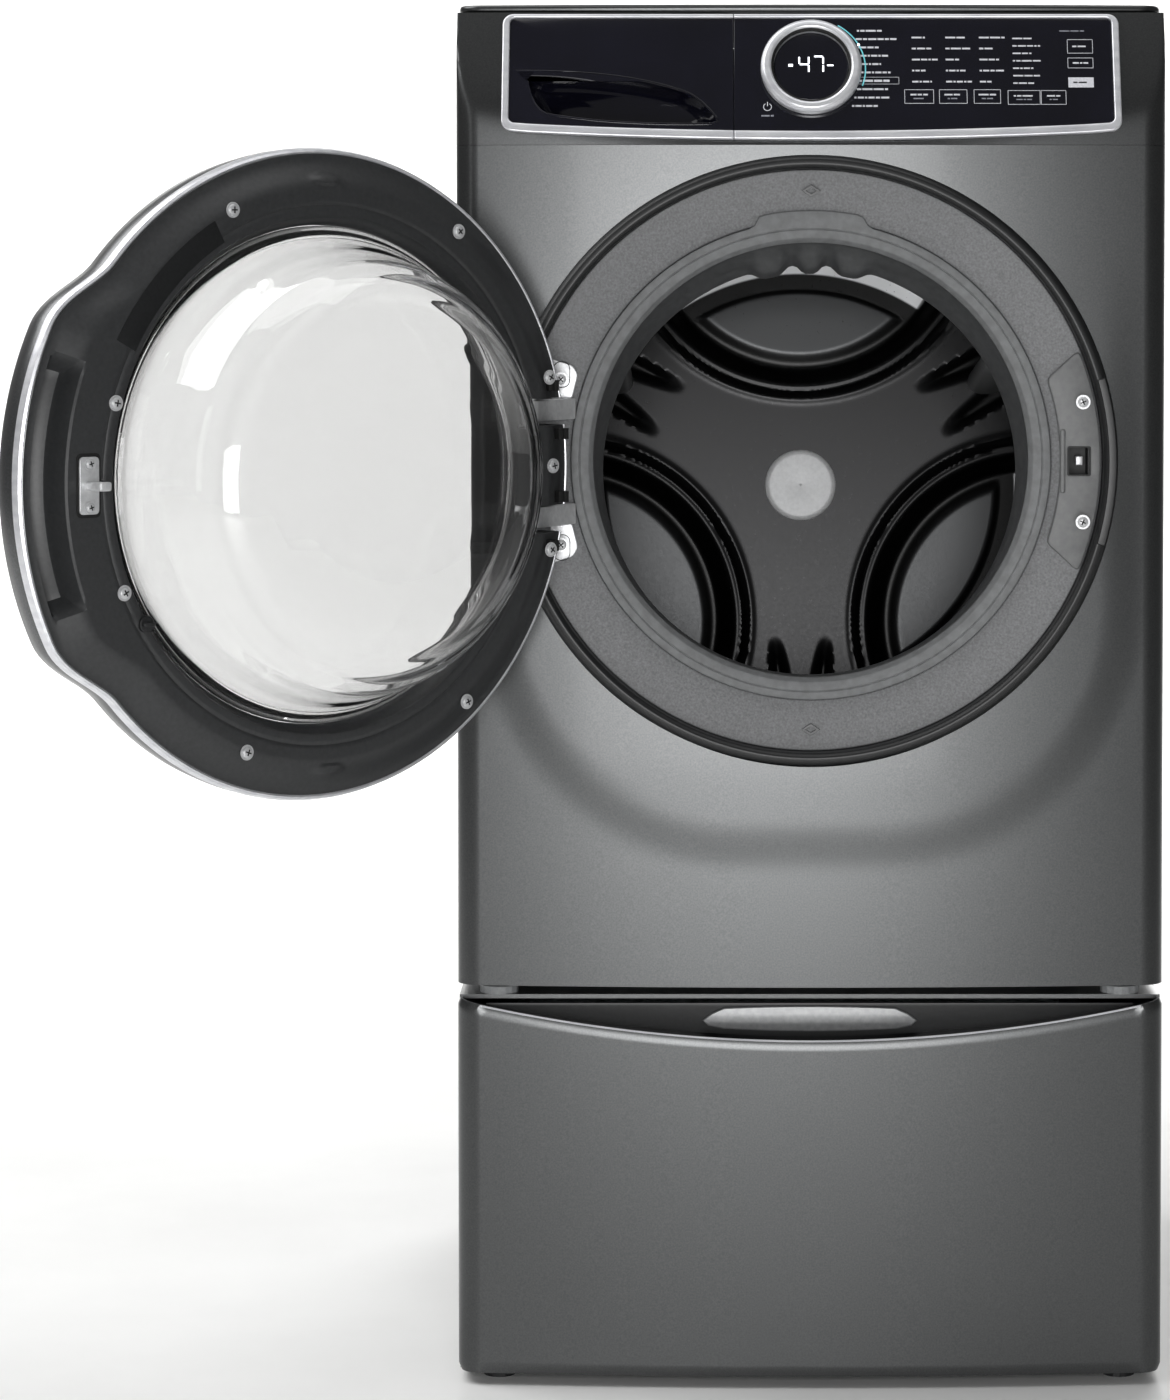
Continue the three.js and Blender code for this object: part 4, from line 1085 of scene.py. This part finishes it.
def addMarks():
    strong, dim, bright = [], [], []
    for i in range(10):
        height = 1.9 if i != 6 else 2.3
        strong += wordBars(42 + 3 * math.cos(i), 119.2 - 8.85 * i, 24 + 16 * math.sin(1.7 * i) ** 2, height, i)
    strong += frameBars(62, 66.3, 46, 7.2, 0.35)
    for column in range(3):
        for row in range(5):
            x = 98 + 32.8 * column
            strong += wordBars(x, 112 - 11.7 * row, 13 + 6 * ((row + column) % 3), 1.7, row + column)
        strong += frameBars(104.4 + 33 * column, 49.5, 28 - 1.2 * column, 14.4)
        strong += wordBars(104.4 + 33 * column, 51.5, 17, 1.6, column, True)
        dim += wordBars(104.4 + 33 * column, 47.4, 11, 1.2, column + 4, True)
    for row in range(7):
        strong += wordBars(196, 111 - 7.9 * row, 20 + 7 * (row % 2), 1.5, row + 3)
    for x, width, seed in ((206, 31, 1), (234.6, 24, 2)):
        strong += frameBars(x, 48.5, width, 14.6)
        strong += wordBars(x, 50.2, width - 11, 1.5, seed, True)
        dim += wordBars(x, 46.4, width - 16, 1.1, seed + 5, True)
    for y, height in ((102.6, 14.4), (85, 10.6)):
        strong += frameBars(261.6, y, 24.4, height)
        strong += wordBars(261.6, y, 15, 1.6, int(y), True)
    bright.append((261.6, 64.4, 24.6, 10.6))
    dim += wordBars(-42.5, 29.2, 12, 1.6, 4, True)
    dim += wordBars(242, 119, 24, 1.2, 9)

    def points(bars, z=3.1):
        return [((x, y, z), (w, h, 1), (0, 0, 0)) for x, y, w, h in bars]

    ink = {"Ink Height": 0.12 * mm}
    spread("fasciaPrint", "marks", points(strong), consoleAt, "cabinet", {**ink, "Ink": finish["printedInk"]})
    spread("fasciaSmallPrint", "marks", points(dim), consoleAt, "cabinet", {**ink, "Ink": finish["dimInk"]})
    spread("startKey", "marks", points(bright), consoleAt, "cabinet", {**ink, "Ink": finish["printedInk"]})
    onKey = points(wordBars(261.6, 64.4, 15, 1.5, 2, True), 3.22)
    spread("startKeyPrint", "marks", onKey, consoleAt, "cabinet", {**ink, "Ink": finish["slotShade"]})
    # Numbers and small lamps on the display, from seven bars a digit
    segments = {"a": (0, 8.4, 8, 1.5), "b": (4.6, 4.3, 1.5, 7), "c": (4.6, -4.3, 1.5, 7),
                "f": (-4.6, 4.3, 1.5, 7), "g": (0, 0, 8, 1.5)}
    digits = {"4": "bcfg", "7": "abc"}
    lit = [(x + segments[s][0], 2 + segments[s][1], segments[s][2], segments[s][3])
           for x, digit in ((-7, "4"), (7, "7")) for s in digits[digit]]
    lit += wordBars(15.5, 1, 7, 1.4, 3) + wordBars(-22, 1, 6, 2.6, 1)
    spread("displayMarks", "marks", [((x, y, 8.66), (w, h, 1), (0, 0, 0)) for x, y, w, h in lit], dialAt,
           "cabinet", {**ink, "Ink": finish["displayGlow"]})
    power = consoleAt @ Matrix.Translation((-42.5 * mm, 38.5 * mm, 0))
    broken = arc(0, 0, 4.2, math.radians(120), math.radians(420), 40) + arc(0, 0, 3.4, math.radians(420),
                                                                          math.radians(120), 40)
    plate("powerRing", [broken], 2.9, 3.2, 0.05, power, finish["printedInk"], "cabinet", steps=1)
    plate("powerBar", [roundedBox(0.8, 4.6, 0.3, 0, 3)], 2.9, 3.2, 0.05, power, finish["printedInk"], "cabinet",
          steps=1)
    halo = arc(0, 0, 53.4, math.radians(60), math.radians(-20), 40) + arc(0, 0, 52.2, math.radians(-20),
                                                                         math.radians(60), 40)
    plate("dialArc", [halo], 2.9, 3.25, 0.05, dialAt, finish["tealGlow"], "cabinet", steps=1)
    plate("cycleDot", [circle(1.3, 24, 52.8 * math.cos(0.5), 52.8 * math.sin(0.5))], 2.9, 3.4, 0.05, dialAt,
          finish["displayGlow"], "cabinet", steps=1)


# Hinge brackets with their tongues, and the bright arms on the door

def makeHinge():
    front = openingAt @ facingFront
    for side, name in ((1, "upper"), (-1, "lower")):
        middle = side * 80
        outline = rounded([(-254, side * 100), (-231, side * 93), (-226, side * 84), (-232, side * 60),
                           (-253, side * 60)], 4)
        plate("hingePlate" + name.title(), [outline], -14.4, -11.2, 1, front, finish["platedSteel"], "cabinet",
              ["hinge_bracket_" + name])
        tongue = roundedBox(15, 24, 6.5, -242, middle + side * 4)
        groove = roundedBox(16.6, 25.6, 7.2, -242, middle + side * 4)
        plate("hingeGroove" + name.title(), [groove, tongue], -11.4, -11.0, 0.1, front, finish["slotShade"],
              "cabinet", steps=1)
        z = side * door["arm"]
        pin = Matrix.Translation(Vector(joints["door_hinge"]["pos_m"]) + Vector((0, 0, z * mm)))
        reach = Vector((-232 + 268, 62))
        angle = math.atan2(reach.y, reach.x)
        length = reach.length
        arm = arc(0, 0, 8, angle + 0.5 * math.pi, angle + 1.5 * math.pi, 16)
        tip = Vector((math.cos(angle), math.sin(angle))) * length
        across = Vector((-math.sin(angle), math.cos(angle))) * 4
        arm += [tuple(tip - across), tuple(tip + across)]
        eye = circle(4.3, 32)
        plate("hingeArm" + name.title(), [arm, eye], -10, 10, 1, pin, finish["platedSteel"], "cabinet")
        # two pairs of slots in the door's liner beside each arm
        back = doorAt @ facingInside
        pairs = [roundedBox(5.4, 10.5, 0.6, x + shift, -side * z) for x, z in ((3, 76), (-9, 30))
                 for shift in (-3.2, 3.2)]
        for i, slot in enumerate(pairs):
            plate("linerSlot" + name.title() + str(i), [slot], door["face"] - 12, door["face"] + 0.15, 0.1,
                  back, finish["slotShade"], "door", steps=1)


addScrews()
addHoles()
addMarks()
makeHinge()
print("repeated parts made")


# Carried-over pieces keep their shapes and take materials of their own

plainFinish = {"cabinet_wrap": "titaniumEnamel", "rear_cover": "galvanisedSheet", "base_pan": "galvanisedSheet",
               "control_board": "boardGreen", "dispenser_housing": "filledPolypropylene",
               "dispenser_tray": "filledPolypropylene", "door_lock": "blackMoulding",
               "tub_front": "filledPolypropylene", "tub_rear": "filledPolypropylene",
               "drum_bearing": "platedSteel",
               "drum_spider": "castAluminium", "drum_pulley": "castAluminium", "motor_pulley": "platedSteel",
               "motor": "galvanisedSheet", "drive_belt": "blackMoulding", "spring": "platedSteel",
               "damper": "greyPolyamide", "counterweight": "sandCastIron", "drain_pump": "greyPolyamide",
               "water_inlet_valves": "filledPolypropylene", "drain_outlet": "blackMoulding",
               "power_cord_inlet": "blackMoulding", "pedestal_carcass": "titaniumEnamel",
               "pedestal_drawer_box": "galvanisedSheet", "machine_foot": "greyPolyamide",
               "pedestal_foot": "blackMoulding", "hinge_pin": "platedSteel"}
for name, node in frame["nodes"].items():
    kind = next((key for key in plainFinish if name.startswith(key)), None)
    if kind:
        node.data.materials.clear()
        node.data.materials.append(finish[plainFinish[kind]])
print("carried-over pieces finished")


# Floor, wall, lights and camera

studio = {"floor": "#f2f2f1", "wall": "#fbfbfa", "key": 76.0, "side": 4.0, "above": 16.0, "wallWash": 290.0,
          "floorWash": 110.0, "behind": 60.0, "world": 0.12,
          "eye": (-0.108, -4.0, 1.10), "lens": 106.4, "shift": (-0.082, -0.2),
          "pitch": 2.2}


def makeStage():
    surface("paleFloor", studio["floor"], studio["wall"], 400, (0.5, 0.6), relief=0.01, reliefGrain=20)
    verts, rows, columns = [], 24, 2
    for i in range(rows + 1):
        t = i / rows
        y, z = -4500 + 11000 * t / 0.7, 0
        if t >= 0.7:
            turn = (t - 0.7) / 0.3 * math.pi / 2
            y, z = 6500 + 1400 * math.sin(turn), 1400 * (1 - math.cos(turn))
        for j in range(columns):
            verts.append((-7000 + 14000 * j, y, z))
    for j in range(columns):
        verts.append((-7000 + 14000 * j, 7900, 9000))
    floor = bpy.data.meshes.new("studioFloor")
    floor.from_pydata([(Vector(v) * mm)[:] for v in verts], [], gridFaces(rows + 2, columns))
    floor.polygons.foreach_set("use_smooth", [True] * len(floor.polygons))
    floor.materials.append(finish["paleFloor"])
    made = bpy.data.objects.new("studioFloor", floor)
    bpy.context.scene.collection.objects.link(made)


def addLight(name, power, size, place, aim):
    lamp = bpy.data.lights.new(name, "AREA")
    lamp.shape = "RECTANGLE"
    lamp.size, lamp.size_y = size
    lamp.energy = power
    made = bpy.data.objects.new(name, lamp)
    made.location = place
    made.rotation_euler = (Vector(place) - Vector(aim)).to_track_quat("Z", "Y").to_euler()
    bpy.context.scene.collection.objects.link(made)


def makeStudio():
    world = bpy.data.worlds.new("studio")
    world.use_nodes = True
    world.node_tree.nodes["Background"].inputs["Color"].default_value = linear("#ffffff")
    world.node_tree.nodes["Background"].inputs["Strength"].default_value = studio["world"]
    bpy.context.scene.world = world
    bpy.context.scene.view_settings.view_transform = "Standard"
    x = machineAt.translation.x
    addLight("key", studio["key"], (1.5, 1.5), (x - 0.1, -4.2, 0.85), (x, 0.2, 0.8))
    addLight("side", studio["side"], (0.8, 2.0), (x - 2.6, -2.6, 1.6), (x - 0.5, 0, 0.9))
    addLight("above", studio["above"], (2.4, 1.4), (x, -0.5, 3.2), (x, 0.2, 0.6))
    addLight("floorWash", studio["floorWash"], (3.0, 3.0), (x - 2.6, 0.2, 3.4), (x - 1.6, 1.4, 0))
    addLight("wallWash", studio["wallWash"], (6.0, 0.8), (x, 4.9, 3.8), (x, 7.2, 0.8))
    addLight("behind", studio["behind"], (2.4, 2.0), (x + 1.4, 4.2, 2.4), (x, 0.8, 0.7))
    camera = bpy.data.cameras.new("camera")
    camera.lens = studio["lens"]
    camera.shift_x, camera.shift_y = studio["shift"]
    eye = bpy.data.objects.new("camera", camera)
    eye.location = machineAt @ Vector(studio["eye"])
    eye.rotation_euler = (math.radians(90 - studio["pitch"]), 0, 0)
    bpy.context.scene.collection.objects.link(eye)
    bpy.context.scene.camera = eye


makeStage()
makeStudio()
print("studio ready")
